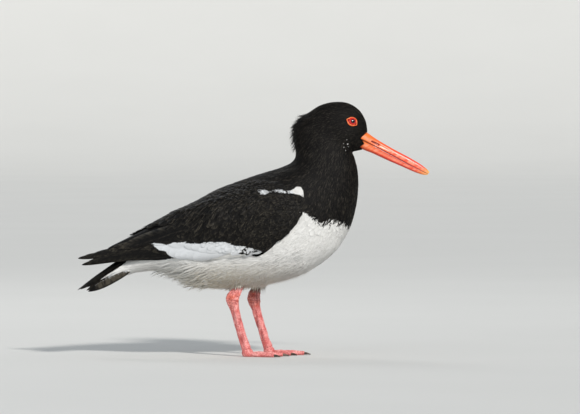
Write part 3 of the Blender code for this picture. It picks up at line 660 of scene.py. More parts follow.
def loft_faces(rings, columns, closed=True, flip=False):
    """The faces of a grid of rings, with both ends closed where the rings are."""
    faces = []
    for i in range(rings - 1):
        for j in range(columns if closed else columns - 1):
            k = (j + 1) % columns
            faces.append((i * columns + j, (i + 1) * columns + j, (i + 1) * columns + k, i * columns + k))
    if closed:
        faces.append(tuple(range(columns)))
        faces.append(tuple(range(rings * columns - 1, (rings - 1) * columns - 1, -1)))
    return [face[::-1] for face in faces] if flip else faces


def mesh_from(name, points, faces):
    """A smooth-shaded mesh from points in millimetres."""
    mesh = bpy.data.meshes.new(name)
    mesh.from_pydata((np.asarray(points).reshape(-1, 3) * MM).tolist(), [], faces)
    mesh.shade_smooth()
    return mesh


def add_value(mesh, name, values):
    made = mesh.attributes.new(name, "FLOAT", "POINT")
    made.data.foreach_set("value", np.ascontiguousarray(values, np.float32).ravel())


# The body's skin and its small feathers.
def skin_values(points, uv):
    count = len(points)
    zero = np.zeros(count)
    return {"mark": np.clip(body_mark(points), -6, 6), "edge": zero, "tone": zero + 0.5,
            "stain": stain(points), "barb": points * 0.7, "uv": uv}


def make_skin():
    """One closed skin for head, neck, back, torso and the tail's root."""
    rows, columns = BODY.points.shape[0] // 4, BODY.points.shape[1] // 2
    t = np.linspace(SKIN_START, len(BODY_ROWS) - 1, rows)
    angles = 2 * math.pi * np.arange(columns) / columns
    uv = np.stack(np.meshgrid(t, angles, indexing="ij"), axis=-1)
    points = BODY.point(uv) - BODY.normal(uv) * SKIN_DEPTH
    flat = points.reshape(-1, 3)
    mesh = mesh_from("skin", flat, loft_faces(rows, columns))
    shares = np.stack(BODY.shares(uv), axis=-1).reshape(-1, 2)
    add_attributes(mesh, skin_values(flat, shares))
    skin = finish_object("skin", mesh, SMALL_FEATHER)
    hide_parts("head", "neck", "back", "torso")
    return skin


GUIDES = np.array(list(FEATHER_GUIDES.values()), float)


def guides_at(points, guides=GUIDES):
    """The direction and length of the small feathers, mixed from the nearest guides."""
    gap = (points[:, None, 0] - guides[None, :, 0]) ** 2 + (points[:, None, 2] - guides[None, :, 1]) ** 2
    weight = 1 / (gap + 16) ** 2
    weight = weight / weight.sum(1, keepdims=True)
    turn = np.radians(guides[:, 2])
    direction = np.stack([weight @ np.cos(turn), np.zeros(len(points)), weight @ np.sin(turn)], axis=-1)
    return unit(direction), weight @ guides[:, 3]


def scatter(surface, spacing, wanted, spread=3.5):
    """Roots set at random on a surface, no two nearer than the spacing asked for."""
    rows, columns = surface.points.shape[:2]
    cell = np.linalg.norm(np.cross(surface.along, surface.across), axis=-1)
    (u0, u1), (v0, v1) = surface.ranges
    cell = cell * (u1 - u0) / rows * (v1 - v0) / columns
    gap = spacing(surface.points.reshape(-1, 3)).reshape(rows, columns)
    hope = (cell / gap**2).ravel()
    count = int(hope.sum() * spread)
    picked = DRAW.choice(len(hope), count, p=hope / hope.sum())
    i, j = np.unravel_index(picked, (rows, columns))
    u = u0 + (u1 - u0) * (i + DRAW.random(count) - 0.5) / (rows - 1)
    v = v0 + (v1 - v0) * (j + DRAW.random(count) - 0.5) / columns
    uv = np.stack([np.clip(u, u0, u1), v], axis=-1)
    points = surface.point(uv)
    uv = uv[wanted(points, uv)]
    points = surface.point(uv)
    tree = KDTree(len(points))
    for index, point in enumerate(points):
        tree.insert(point, index)
    tree.balance()
    radius = 0.78 * spacing(points)
    free = np.ones(len(points), bool)
    kept = []
    for index in range(len(points)):
        if free[index]:
            kept.append(index)
            for _, other, _ in tree.find_range(points[index], radius[index]):
                free[other] = False
    return uv[np.array(kept)]


def march(surface, roots, headings_at, lengths, half_widths, yaw, curl=0.0):
    """place(share, across) for feathers that run over a surface from their roots."""
    steps = 10
    track = [roots]
    sides = []
    uv = roots
    for k in range(steps + 1):
        normal = surface.normal(uv)
        heading = surface.tangent(uv, headings_at(surface.point(uv)))
        side = np.cross(normal, heading)
        turn = (yaw + curl * k / steps)[:, None]
        heading = heading * np.cos(turn) + side * np.sin(turn)
        sides.append(np.cross(normal, heading))
        uv = surface.move(uv, heading * (lengths / steps)[:, None])
        track.append(uv)

    def place(share, across):
        k = min(int(share * steps), steps - 1)
        part = share * steps - k
        middle = track[k] * (1 - part) + track[k + 1] * part
        side = sides[k]
        uv_here = surface.move(middle, side * (half_widths * across)[:, None])
        return surface.point(uv_here), surface.normal(uv_here)

    return place


LEAF_SPACING, BARB_SPACING = 0.3, 0.13
LEAST_SPACING = {SOFT_LEAF: 1.0, SPEAR: 0.8}
EYE_CLEAR = (6.0, 5.0)
BIB_RAGGED_FROM, BIB_RAGGED, EDGE_RAGGED = 62, 1.9, 0.45
# How strongly the body's pale streak feathers show, partly as wear and partly as painted highlight.
BODY_PALE = 2.6
COAT_REGIONS = {
    # name: first row, last row, slot
    "coat_tail_root": (1.4, 5.5, "white_feather"),
    "coat_rear": (5.5, 8.5, "white_feather"),
    "coat_belly": (8.5, 11.2, "white_feather"),
    "coat_breast": (11.2, 14.2, "white_feather"),
    "coat_neck": (14.2, 17.2, "black_feather"),
    "coat_nape": (17.2, 20.2, "black_feather"),
    "coat_hind_crown": (20.2, 22.2, "black_feather"),
    "coat_crown": (22.2, 23.6, "black_feather"),
    "coat_face": (23.6, 26, "black_feather"),
}
EYE_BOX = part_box("eye_left")
EYE_MIDDLE = np.array([(low + high) / 2 / MM for low, high in zip(*EYE_BOX)])


def under_wing(points):
    """True where the folded wing hides the body."""
    x, z = points[:, 0], points[:, 2]
    covered = (z > along_line(WING_BOTTOM, x) + 4) & (z < along_line(WING_TOP, x) - 5)
    return covered & (x > -120) & (x < 44) & (np.abs(points[:, 1]) > 9)


def near_eye(points, room=1.0):
    reach = ((points[:, 0] - EYE_MIDDLE[0]) / EYE_CLEAR[0]) ** 2
    reach = reach + ((points[:, 2] - EYE_MIDDLE[2]) / EYE_CLEAR[1]) ** 2
    return reach < room


# The feathers' front edge at the bill, as distance along the bird at each height.
BILL_EDGE = ((203, 112), (206.5, 109.5), (209.6, 106.4), (211.9, 110.8), (213.6, 110.4), (217.6, 106.4),
             (220.5, 109.6), (223.4, 113.6), (226, 120))


def near_bill(points):
    """True where the bill's bare base stands, in front of the feathers' edge."""
    heights, edges = zip(*BILL_EDGE)
    return points[:, 0] > np.interp(points[:, 2], heights, edges) - 0.4


def body_feathers(coat, first, last, spacing_share, outline, slim, length_share, lift):
    """One layer of a region's small feathers."""
    def spacing(points):
        return np.maximum(spacing_share * guides_at(points)[1], LEAST_SPACING[outline])

    def wanted(points, uv):
        inside = (uv[:, 0] >= first) & (uv[:, 0] < last)
        heading, length = guides_at(points)
        tips = points + heading * (0.9 * length_share * length)[:, None]
        return inside & ~under_wing(points) & ~near_eye(points) & ~near_eye(tips) & ~near_bill(points)

    roots = scatter(BODY, spacing, wanted)
    count = len(roots)
    _, length = guides_at(BODY.point(roots))
    lengths = length_share * length * DRAW.uniform(0.8, 1.2, count)
    half_widths = slim * lengths * DRAW.uniform(0.8, 1.2, count)
    yaw = np.radians(DRAW.normal(0, 7, count))
    place = march(BODY, roots, lambda points: guides_at(points)[0], lengths, half_widths, yaw,
                  np.radians(DRAW.normal(0, 9, count)))
    low, high = lift
    rise = DRAW.uniform(0.6, 1.25, count) * np.clip(length / 10, 0.45, 1.25)
    shares = np.stack(BODY.shares(roots), axis=-1)
    flat = np.where(body_mark(BODY.point(roots)) > 3, 0.6, 1.0)
    ragged = np.where(BODY.point(roots)[:, 0] > BIB_RAGGED_FROM, BIB_RAGGED, EDGE_RAGGED)
    coat.add(place, count, outline, NARROW, lengths, half_widths, shares,
             lambda share: low + (high - low) * share**1.3 * rise * flat, 0.05, 0.16, ragged,
             pale=BODY_PALE if outline is SPEAR else None)


def make_body_coat():
    for name, (first, last, slot) in COAT_REGIONS.items():
        coat = Coat(body_mark)
        body_feathers(coat, first, last, LEAF_SPACING, SOFT_LEAF, 0.3, 1.0, (-0.7, 0.25))
        body_feathers(coat, first, last, BARB_SPACING, SPEAR, 0.05, 0.85, (-0.4, 0.5))
        coat.make(name, SMALL_FEATHER)


def make_cheek_specks():
    """The few tiny white feathers on each cheek."""
    specks = np.array(CHEEK_SPECKS)
    grid = BODY.points.reshape(-1, 3)
    left = grid[:, 1] > 0
    gap = np.hypot(grid[:, 0] - specks[:, :1], grid[:, 2] - specks[:, 1:2])
    nearest = np.argmin(np.where(left, gap, np.inf), axis=1)
    row, column = np.unravel_index(nearest, BODY.points.shape[:2])
    roots = np.stack([row / RINGS_PER_SECTION, 2 * math.pi * column / BODY_COLUMNS], axis=-1)
    count = len(specks)
    yaw = np.radians(DRAW.normal(0, 20, count))
    place = march(BODY, roots, lambda points: guides_at(points)[0], specks[:, 2], specks[:, 3], yaw)
    coat = Coat(all_white)
    for side in SIDES.values():
        coat.add(place, count, SOFT_LEAF, NARROW, specks[:, 2], specks[:, 3],
                 np.stack(BODY.shares(roots), axis=-1), lambda share: np.full(count, 0.55), side=side)
    coat.make("cheek_specks", SMALL_FEATHER)


# Loose tufts that stand out: the ragged nape, the shaggy vent and belly.
TUFT_REGIONS = {
    # name: lowest and highest row, lowest and highest angle from the back line in degrees,
    # direction, length, rise of the tip, half width, spacing
    "nape_fringe": ((16.4, 20.0), (0, 42), 232, 13.0, 4.8, 0.90, 1.7),
    "mane": ((17.5, 22.4), (30, 90), 224, 8.0, 1.3, 0.45, 2.2),
    "vent_tufts": ((5.6, 8.1), (115, 180), 206, 17.0, 6.5, 1.1, 3.2),
    "belly_tufts": ((7.6, 12.0), (118, 180), 200, 15.0, 2.8, 0.7, 3.0),
    "leg_tufts": ((8.75, 10.4), (134, 163), 262, 10.5, 4.2, 0.55, 2.0),
}


def make_tufts():
    for name, (rows, angles, direction, length, rise, half_width, gap) in TUFT_REGIONS.items():
        def wanted(points, uv):
            turn = np.degrees(uv[:, 1]) % 360
            turn = np.minimum(turn, 360 - turn)
            return (uv[:, 0] > rows[0]) & (uv[:, 0] < rows[1]) & (turn >= angles[0]) & (turn <= angles[1])

        roots = scatter(BODY, lambda points: np.full(len(points), gap), wanted, spread=2.0)
        count = len(roots)
        turn = math.radians(direction)
        heading = np.array([math.cos(turn), 0, math.sin(turn)])
        lengths = length * DRAW.uniform(0.6, 1.25, count)
        half_widths = half_width * DRAW.uniform(0.6, 1.3, count)
        place = march(BODY, roots, lambda points: np.broadcast_to(heading, points.shape), lengths,
                      half_widths, np.radians(DRAW.normal(0, 9, count)), np.radians(DRAW.normal(0, 16, count)))
        rises = rise * DRAW.uniform(0.2, 1.3, count)
        coat = Coat(body_mark)
        coat.add(place, count, TUFT, NARROW, lengths, half_widths, np.stack(BODY.shares(roots), axis=-1),
                 lambda share: -0.5 + 0.6 * share + rises * share**2, 0.05, 0.2, 0.5)
        coat.make(name, SMALL_FEATHER)


# The thighs' feathers, which hang round the top of each leg.
THIGH = {"right": (-14.5, -17.0), "left": (7.0, 17.0)}
THIGH_TOP = 78.0
THIGH_END = {"right": 67.0, "left": 64.0}
THIGH_TOP_RADIUS, THIGH_END_RADIUS = 9.0, 5.7
THIGH_FORWARD = -3.0
THIGH_TUFTS = 190
THIGH_STRAND = 6.0


def make_thigh(side_name):
    x, y = THIGH[side_name]
    turn = DRAW.uniform(0, 2 * math.pi, THIGH_TUFTS)
    around = np.stack([np.cos(turn), np.sin(turn), np.zeros(THIGH_TUFTS)], axis=-1)
    beside = np.stack([-np.sin(turn), np.cos(turn), np.zeros(THIGH_TUFTS)], axis=-1)
    start = THIGH_TOP + DRAW.uniform(-3, 2, THIGH_TUFTS)
    end = THIGH_END[side_name] + DRAW.uniform(0, 6, THIGH_TUFTS)
    end = end - THIGH_STRAND * DRAW.random(THIGH_TUFTS) ** 6
    sway = DRAW.normal(0, 1.2, THIGH_TUFTS)
    half_widths = DRAW.uniform(0.3, 0.9, THIGH_TUFTS)
    flare = DRAW.uniform(-0.4, 1.6, THIGH_TUFTS)

    def place(share, across):
        height = start + (end - start) * share
        radius = THIGH_TOP_RADIUS + (THIGH_END_RADIUS - THIGH_TOP_RADIUS) * share**0.7 + flare * share**2
        point = np.array([x, y, 0.0]) + around * radius[:, None]
        point = point + beside * (sway * share + half_widths * across)[:, None]
        point[:, 0] += THIGH_FORWARD * share
        point[:, 2] = height
        return point, around

    coat = Coat(body_mark)
    roots_uv = np.tile([0.4, 0.5], (THIGH_TUFTS, 1)) + 0.02 * around[:, :2]
    coat.add(place, THIGH_TUFTS, TUFT, NARROW, start - end, half_widths, roots_uv,
             lambda share: np.full(THIGH_TUFTS, 0.0), 0.05, 0.2, 0.3)
    coat.make("thigh_" + side_name, SMALL_FEATHER)


# The folded wings. The bands of small feathers are given by the wing's coordinate q.
HIGHEST_Q = -0.1
WING_FRONT = 51
SCAPULAR_BAND, COVERT_BAND, STREAK_BAND = (-0.28, 0.045), (-0.02, 0.96), (0.05, 0.62)
STREAK_FRONT = -6
# How strongly the wing's pale streak feathers show, partly as wear and partly as painted highlight.
WING_PALE, STREAK_PALE = 3.0, 2.0


def wing_place(x, z):
    """The wing surface's coordinates at a place of the side view."""
    top, bottom = along_line(WING_TOP, x), along_line(WING_BOTTOM, x)
    q = (top - z) / (top - bottom)
    for _ in range(4):
        height = WING.point(np.stack([x, q], axis=-1))[:, 2]
        q = q + (height - z) / (top - bottom)
    return np.stack([x, np.clip(q, np.maximum(HIGHEST_Q, middle_q(x)), WING_Q_RANGE[1])], axis=-1)


def wing_run(roots, tips, half_widths, bends):
    """place(share, across) for feathers that run over the wing from root to tip, both given
    in the side view, in a curve that stands above the straight line by its bend."""
    heading = unit(tips - roots)
    side = np.stack([heading[:, 1], -heading[:, 0]], axis=-1)

    def place(share, across):
        flat = roots + (tips - roots) * share + side * (half_widths * across)[:, None]
        flat[:, 1] += bends * 4 * share * (1 - share)
        uv = wing_place(flat[:, 0], flat[:, 1])
        return WING.point(uv), WING.normal(uv)

    return place, np.linalg.norm(tips - roots, axis=1)


# The wing's long feathers, from the lowest layer to the top one. The outer primaries are
# given one by one: root x, root z, tip x, tip z, half width, bend, height of the tip.
OUTER_PRIMARIES = np.array((
    (-78, 101.0, -171.5, 91.2, 3.0, 2.4, 0.1),
    (-78, 103.0, -165.0, 93.8, 3.3, 2.2, 0.4),
    (-76, 107.0, -174.6, 97.4, 3.0, 1.2, 0.6),
    (-76, 110.0, -167.5, 99.8, 3.2, 1.2, 0.8),
    (-74, 112.0, -159.0, 101.4, 3.4, 1.0, 1.0),
), float)
# The rest in rows, with both ends of each row: number, roots, tips, half widths, bends,
# heights of the tips.
WING_FEATHERS = {
    "inner_primary": (5, ((-68, 112), (-58, 124)), ((-151, 103.4), (-122, 113.5)), (3.6, 4.8), (0.6, 0.3), (1.0, 1.5)),
    "secondary": (11, ((-66, 108), (-14, 112)), ((-119, 108), (-58, 99.6)), (6.0, 6.0), (1.5, 0.0), (0.6, 1.2)),
    "tertial": (6, ((-46, 122), (-26, 144)), ((-98, 114), (-130, 108)), (6.2, 6.0), (3.0, 0.5), (1.5, 2.4)),
    "greater_covert": (14, ((-44, 118), (22, 118)), ((-96, 112), (0, 102)), (5.4, 4.6), (1.0, 0.0), (1.1, 1.0)),
}


def between(ends, t):
    """Values in even steps from one end to the other, for numbers or for pairs."""
    low, high = np.asarray(ends[0], float), np.asarray(ends[1], float)
    return low + (high - low) * (t[:, None] if low.ndim else t)


def long_wing_feathers(coat, roots, tips, half_widths, bends, heights, side):
    """One row of long feathers, each from its root to its tip on the wing."""
    place, lengths = wing_run(roots, tips, half_widths, bends)
    roots_uv = np.stack(WING.shares(wing_place(roots[:, 0], roots[:, 1])), axis=-1)
    coat.add(place, len(roots), FLIGHT, BROAD, lengths, half_widths, roots_uv,
             lambda share: -0.6 + (heights + 0.6) * share**0.8, 0.07, 0.16, 0.6, side=side, bow=0.35)


def make_wing(side_name):
    side = SIDES[side_name]
    coat = Coat(wing_mark)
    outer = OUTER_PRIMARIES
    long_wing_feathers(coat, outer[:, 0:2], outer[:, 2:4], outer[:, 4], outer[:, 5], outer[:, 6], side)
    for count, roots, tips, half_widths, bends, heights in WING_FEATHERS.values():
        t = np.linspace(0, 1, count)
        ragged_tips = between(tips, t) + DRAW.normal(0, 0.8, (count, 2))
        long_wing_feathers(coat, between(roots, t), ragged_tips, between(half_widths, t),
                           between(bends, t), between(heights, t), side)
    for band, extra in ((COVERT_BAND, 0.0), (SCAPULAR_BAND, 0.5)):
        small_wing_feathers(coat, band, 0.3, COVERT, 0.27, 1.0, (-0.5, 1.2 + extra), side)
        small_wing_feathers(coat, band, 0.17, SPEAR, 0.05, 0.85, (-0.3, 1.2 + extra), side, pale=WING_PALE)
    # A sparse layer of thin spears with pale streaks: partly worn fringes, partly painted highlight.
    small_wing_feathers(coat, STREAK_BAND, 0.34, SPEAR, 0.03, 1.0, (0.3, 1.9), side, STREAK_FRONT, STREAK_PALE)
    piece = coat.make("wing_plumage_" + side_name, FLIGHT_FEATHER)
    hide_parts("wing_" + side_name)


# How the small feathers lie on the wing.
#           x, z, direction, length
WING_GUIDES = np.array((
    (47, 160, 196, 5.0),
    (46, 143, 214, 5.5),
    (22, 163, 200, 6.5),
    (20, 145, 214, 7.5),
    (22, 122, 206, 7.0),
    (-10, 160, 220, 9.5),
    (-10, 142, 240, 11.0),
    (-8, 120, 214, 9.5),
    (-40, 152, 243, 13.0),
    (-40, 134, 248, 14.5),
    (-45, 120, 220, 11.0),
    (-68, 142, 240, 16.0),
    (-72, 126, 218, 15.0),
    (-95, 128, 212, 17.0),
    (-110, 117, 204, 17.0),
), float)
COVERT_REAR = ((-0.3, -122), (-0.05, -116), (0.1, -98), (0.3, -80), (0.5, -66), (0.7, -44), (0.85, -8), (1.0, 26))


def small_wing_feathers(coat, band, spacing_share, outline, slim, length_share, lift, side,
                        front=WING_FRONT, pale=None):
    """One layer of the scapulars, or of the small coverts over the front of the wing."""
    low_q, high_q = band
    shares, rears = zip(*COVERT_REAR)

    def wanted(points, uv):
        x, q = uv[:, 0], uv[:, 1]
        shown = (q > np.maximum(low_q, middle_q(x))) & (q < high_q)
        return shown & (x > np.interp(q, shares, rears)) & (x < front)

    def spacing(points):
        return spacing_share * guides_at(points, WING_GUIDES)[1]

    roots = scatter(WING, spacing, wanted)
    count = len(roots)
    _, length = guides_at(WING.point(roots), WING_GUIDES)
    lengths = length * length_share * DRAW.uniform(0.8, 1.2, count)
    half_widths = slim * lengths
    place = march(WING, roots, lambda points: guides_at(points, WING_GUIDES)[0], lengths, half_widths,
                  np.radians(DRAW.normal(0, 6, count)), np.radians(DRAW.normal(-4, 6, count)))
    low, high = lift
    rise = DRAW.uniform(0.7, 1.2, count)
    coat.add(place, count, outline, NARROW, lengths, half_widths, np.stack(WING.shares(roots), axis=-1),
             lambda share: low + (high - low) * share * rise, 0.1, 0.16, 0.5, side=side, bow=0.6,
             pale=pale)


SHELL_X_RANGE = (-160, 51)
SHELL_ROOF_END = -48
SHELL_TOP_Q = -0.3
SHELL_DEPTH = 0.8


def make_wing_shell(side_name):
    """The smooth form under one wing's feathers. Behind the back it meets the other wing's
    over the rump, and elsewhere its edges are sunk into the body."""
    side = SIDES[side_name]
    x = np.linspace(*SHELL_X_RANGE, 110)
    share = np.linspace(0, 1, 40)[None, :]
    start = np.maximum(SHELL_TOP_Q, middle_q(x))[:, None]
    q = start + (1 - start) * share
    uv = np.stack([x[:, None] + np.zeros_like(q), q], axis=-1)
    on_body = np.clip((x - SHELL_ROOF_END) / 10, 0, 1)[:, None]
    sink = SHELL_DEPTH + 3 * np.clip((-0.08 - q) / 0.1, 0, 1) * on_body
    sink = sink + 8 * np.clip(q - 0.9, 0, 1)
    sink = sink + 5 * np.clip((x - 44) / 7, 0, 1)[:, None] + 4.5 * np.clip((-142 - x) / 16, 0, 1)[:, None]
    points = WING.point(uv) - WING.normal(uv) * sink[..., None]
    rows, columns = points.shape[:2]
    flat = points.reshape(-1, 3)
    faces = loft_faces(rows, columns, closed=False, flip=side < 0)
    mesh = mesh_from("wing_shell_" + side_name, mirrored(flat, side), faces)
    shares = np.stack(WING.shares(uv), axis=-1).reshape(-1, 2)
    values = skin_values(flat, shares)
    values["mark"] = np.clip(wing_mark(flat), -6, 6)
    add_attributes(mesh, values)
    shell = finish_object(mesh.name, mesh, SMALL_FEATHER)
    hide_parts("wing_" + side_name)


# The tail: twelve feathers laid over each other like a low roof, sloping down behind the
# wings. Each row is one pair, from the middle pair to the outermost one:
#    root x, root z, tip x, tip z, root y, tip y, half width, roll in degrees
TAIL_FEATHERS = np.array((
    (-126, 102.8, -176.8, 66.0, 1.0, 1.8, 5.2, 6),
    (-126, 101.8, -175.4, 66.4, 2.4, 4.2, 5.2, 20),
    (-126, 99.0, -172.8, 67.2, 3.8, 6.8, 5.8, 34),
    (-126, 94.4, -168.5, 69.4, 5.2, 9.4, 5.8, 46),
    (-125, 88.6, -166.8, 66.2, 6.6, 11.2, 3.4, 56),
    (-124, 85.4, -165.0, 65.0, 7.6, 12.6, 4.2, 66),
), float)
TAIL_OUTLINE = ((0, 0.4), (0.12, 0.7), (0.3, 0.9), (0.5, 1.0), (0.65, 0.97), (0.77, 0.84),
                (0.86, 0.64), (0.93, 0.4), (0.975, 0.2), (1.0, 0.05))
# Where the two outer pairs turn from white, or from a streaky grey, to black, as a share of
# their length, and where their black outer edge starts, as a share of the half width.
TAIL_WHITE_TO, TAIL_GREY_FROM, TAIL_GREY_TO, TAIL_EDGE_FROM = 0.52, 0.16, 0.8, 0.68
TAIL_GREY, TAIL_FADE = -0.3, 4.0
TAIL_INNER_PAIRS = 4


def tail_mark(points, shift):
    """Black inner pairs, and outer pairs with a white or streaky base and a black edge."""
    count, stations, columns = points.shape[:3]
    share = np.array([share for share, _ in TAIL_OUTLINE])[None, :, None]
    outwards = -np.array(BROAD)[None, None, :] + np.zeros((count, stations, columns))
    white = 8 * (TAIL_WHITE_TO - share) + np.zeros_like(outwards)
    base = np.clip(TAIL_GREY_FROM - share, 0, 1)
    grey = np.minimum(8 * (TAIL_GREY_TO - share), 0.0) + TAIL_GREY + 4 * base + np.zeros_like(outwards)
    edge = 4 * (TAIL_EDGE_FROM + 1.5 * base - outwards)
    mark = np.full(points.shape[:-1], -6.0)
    mark[TAIL_INNER_PAIRS] = np.minimum(white, edge)[0]
    mark[TAIL_INNER_PAIRS + 1:] = np.minimum(grey, edge)[0]
    return mark + 0.1 * shift


def make_tail():
    rows = TAIL_FEATHERS
    roots, tips = rows[:, [0, 4, 1]], rows[:, [2, 5, 3]]
    lengths = np.linalg.norm(tips - roots, axis=1)
    heading = unit(tips - roots)
    half_widths, roll = rows[:, 6], np.radians(rows[:, 7])
    up = unit(np.cross(heading, [0.0, -1.0, 0.0]))
    beside = np.cross(up, heading)
    across_axis = beside * np.cos(roll)[:, None] - up * np.sin(roll)[:, None]
    normal = up * np.cos(roll)[:, None] + beside * np.sin(roll)[:, None]

    def place(share, across):
        point = roots + (tips - roots) * share - across_axis * (half_widths * across)[:, None]
        return point, normal

    coat = Coat(tail_mark)
    roots_uv = np.stack([rows[:, 4] / 20 + 0.5, np.full(len(rows), 0.5)], axis=-1)
    for side in SIDES.values():
        coat.add(place, len(rows), TAIL_OUTLINE, BROAD, lengths, half_widths, roots_uv,
                 lambda share: np.full(len(rows), -0.3), 0.12, 0.25, 0.6, side=side)
    faded = np.array([TAIL_FADE * min(max(8 * (TAIL_GREY_TO - share), 0), 1) for share, _ in TAIL_OUTLINE])
    inside = -np.array(BROAD) < 0.9
    for part in coat.parts:
        part["edge"][TAIL_INNER_PAIRS + 1:] = faded[:, None] * inside
        part["tone"][TAIL_INNER_PAIRS + 1:] = 1.0
    tail = coat.make("tail_feathers", FLIGHT_FEATHER)
    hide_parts("tail")


# The bill: upper and lower halves, each lofted between its outer line and the mouth line.
CULMEN = ((107, 227.5), (114.4, 223.0), (120, 219.0), (125.5, 215.4), (139.5, 207.2), (153.5, 199.8),
          (164, 193.7), (170, 189.6), (173.5, 186.7), (175.2, 184.6), (175.7, 183.2))
MOUTH = ((104, 218.6), (109.5, 215.8), (114.5, 213.2), (120, 210.4), (127, 206.8), (139.5, 200.1),
         (153.5, 192.4), (163, 187.6), (169.5, 184.5), (172.5, 183.1), (174.6, 182.4))
GONYS = ((101, 209.5), (107.5, 207.2), (113, 204.9), (118.5, 202.9), (125, 199.9), (134, 195.7),
         (149, 189.2), (159, 184.8), (166, 182.2), (170.8, 181.1), (174.2, 181.3))
BILL_HALF_WIDTHS = (11.4, 9.2, 6.4, 5.0, 4.6, 4.1, 3.5, 2.8, 2.1, 1.5, 0.8)
BILL_RINGS, BILL_COLUMNS = 120, 48
MOUTH_SLIT, MOUTH_ROOF, MOUTH_FLOOR = 0.06, 0.2, 0.12
NOSTRIL = ((118.2, 214.6), (125.2, 211.3))
NOSTRIL_WIDTH, NOSTRIL_DEPTH = 0.9, 1.2
NASAL_GROOVE = ((112, 217.6), (140, 203.6))
LOWER_GROOVE = ((112, 210.5), (152, 190.8))
GROOVE_WIDTH, GROOVE_DEPTH = 1.0, 0.45
# Behind the feathers' edge the bill's base is sunk into the face.
BILL_TUCK, BILL_TUCK_RUN = 4.0, 1.0


def line_gap(x, z, line):
    """The distance to a straight line between two points, and the share of the way along."""
    (x0, z0), (x1, z1) = line
    dx, dz = x1 - x0, z1 - z0
    share = np.clip(((x - x0) * dx + (z - z0) * dz) / (dx * dx + dz * dz), 0, 1)
    return np.hypot(x - x0 - share * dx, z - z0 - share * dz), share


def make_bill_half(name, outer, is_upper):
    t = np.linspace(0, len(CULMEN) - 1, BILL_RINGS)
    outer_line = smooth_rows(outer, t)
    mouth_line = smooth_rows(MOUTH, t)
    half = np.interp(t, np.arange(len(BILL_HALF_WIDTHS)), BILL_HALF_WIDTHS)
    away = unit(outer_line - mouth_line)
    height = np.linalg.norm(outer_line - mouth_line, axis=1)
    inner_line = mouth_line + away * np.minimum(MOUTH_SLIT, 0.2 * height)[:, None]
    turn = np.linspace(0, math.pi, BILL_COLUMNS - BILL_COLUMNS // 4)
    rim = np.linspace(-1, 1, BILL_COLUMNS // 4 + 2)[1:-1]
    inner_rise = MOUTH_ROOF if is_upper else -MOUTH_FLOOR
    rise = np.concatenate([np.sin(turn) ** 0.8, inner_rise * (1 - rim**2)])
    side = np.concatenate([np.cos(turn), rim])
    side = np.sign(side) * np.abs(side) ** 0.8
    x = inner_line[:, :1] + (outer_line - inner_line)[:, :1] * rise[None, :]
    z = inner_line[:, 1:] + (outer_line - inner_line)[:, 1:] * rise[None, :]
    y = half[:, None] * side[None, :] * (1.0 if is_upper else 0.94)
    points = np.stack([x, y, z], axis=-1)
    groove_gap, groove_share = line_gap(x, z, NASAL_GROOVE if is_upper else LOWER_GROOVE)
    ends = np.clip(4 * groove_share, 0, 1) * np.clip(3 * (1 - groove_share), 0, 1)
    groove = GROOVE_DEPTH * np.exp(-(groove_gap / GROOVE_WIDTH) ** 2) * ends
    slit_gap, slit_share = line_gap(x, z, NOSTRIL)
    slit = np.exp(-(slit_gap / NOSTRIL_WIDTH) ** 4) if is_upper else np.zeros_like(x)
    heights, edges = zip(*BILL_EDGE)
    tucked = BILL_TUCK * np.clip((np.interp(z, heights, edges) - x) / BILL_TUCK_RUN, 0, 1)
    points[..., 1] -= np.sign(y) * np.minimum(groove + NOSTRIL_DEPTH * slit + tucked, 0.6 * np.abs(y))
    mesh = mesh_from(name, points, loft_faces(BILL_RINGS, BILL_COLUMNS, flip=not is_upper))
    # The finish darkens the nostril's slit as painted shade and pales the grooves as painted highlight.
    add_value(mesh, "slit", slit)
    add_value(mesh, "groove", groove / GROOVE_DEPTH)
    add_value(mesh, "rise", np.broadcast_to(rise, x.shape))
    add_value(mesh, "deep", np.full(x.shape, 0.2 if is_upper else 0.85))
    add_value(mesh, "run", np.broadcast_to(((t - 1) / (len(CULMEN) - 2))[:, None], x.shape))
    piece = finish_object(name, mesh, BILL_FINISH)
    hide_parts("bill_upper" if is_upper else "bill_lower")


BILL_BASE, BILL_MIDDLE, BILL_TIP = (0.92, 0.19, 0.018), (0.82, 0.055, 0.020), (0.88, 0.46, 0.040)
# The pale pink is painted highlight on the bill; the near-black is painted shade in the mouth slit and the nostril.
BILL_PAINTED_HIGHLIGHT, BILL_PAINTED_SHADE, BILL_DEEP = (0.93, 0.33, 0.21), (0.16, 0.008, 0.005), (0.62, 0.022, 0.012)


BILL_SLOPE = math.radians(30)


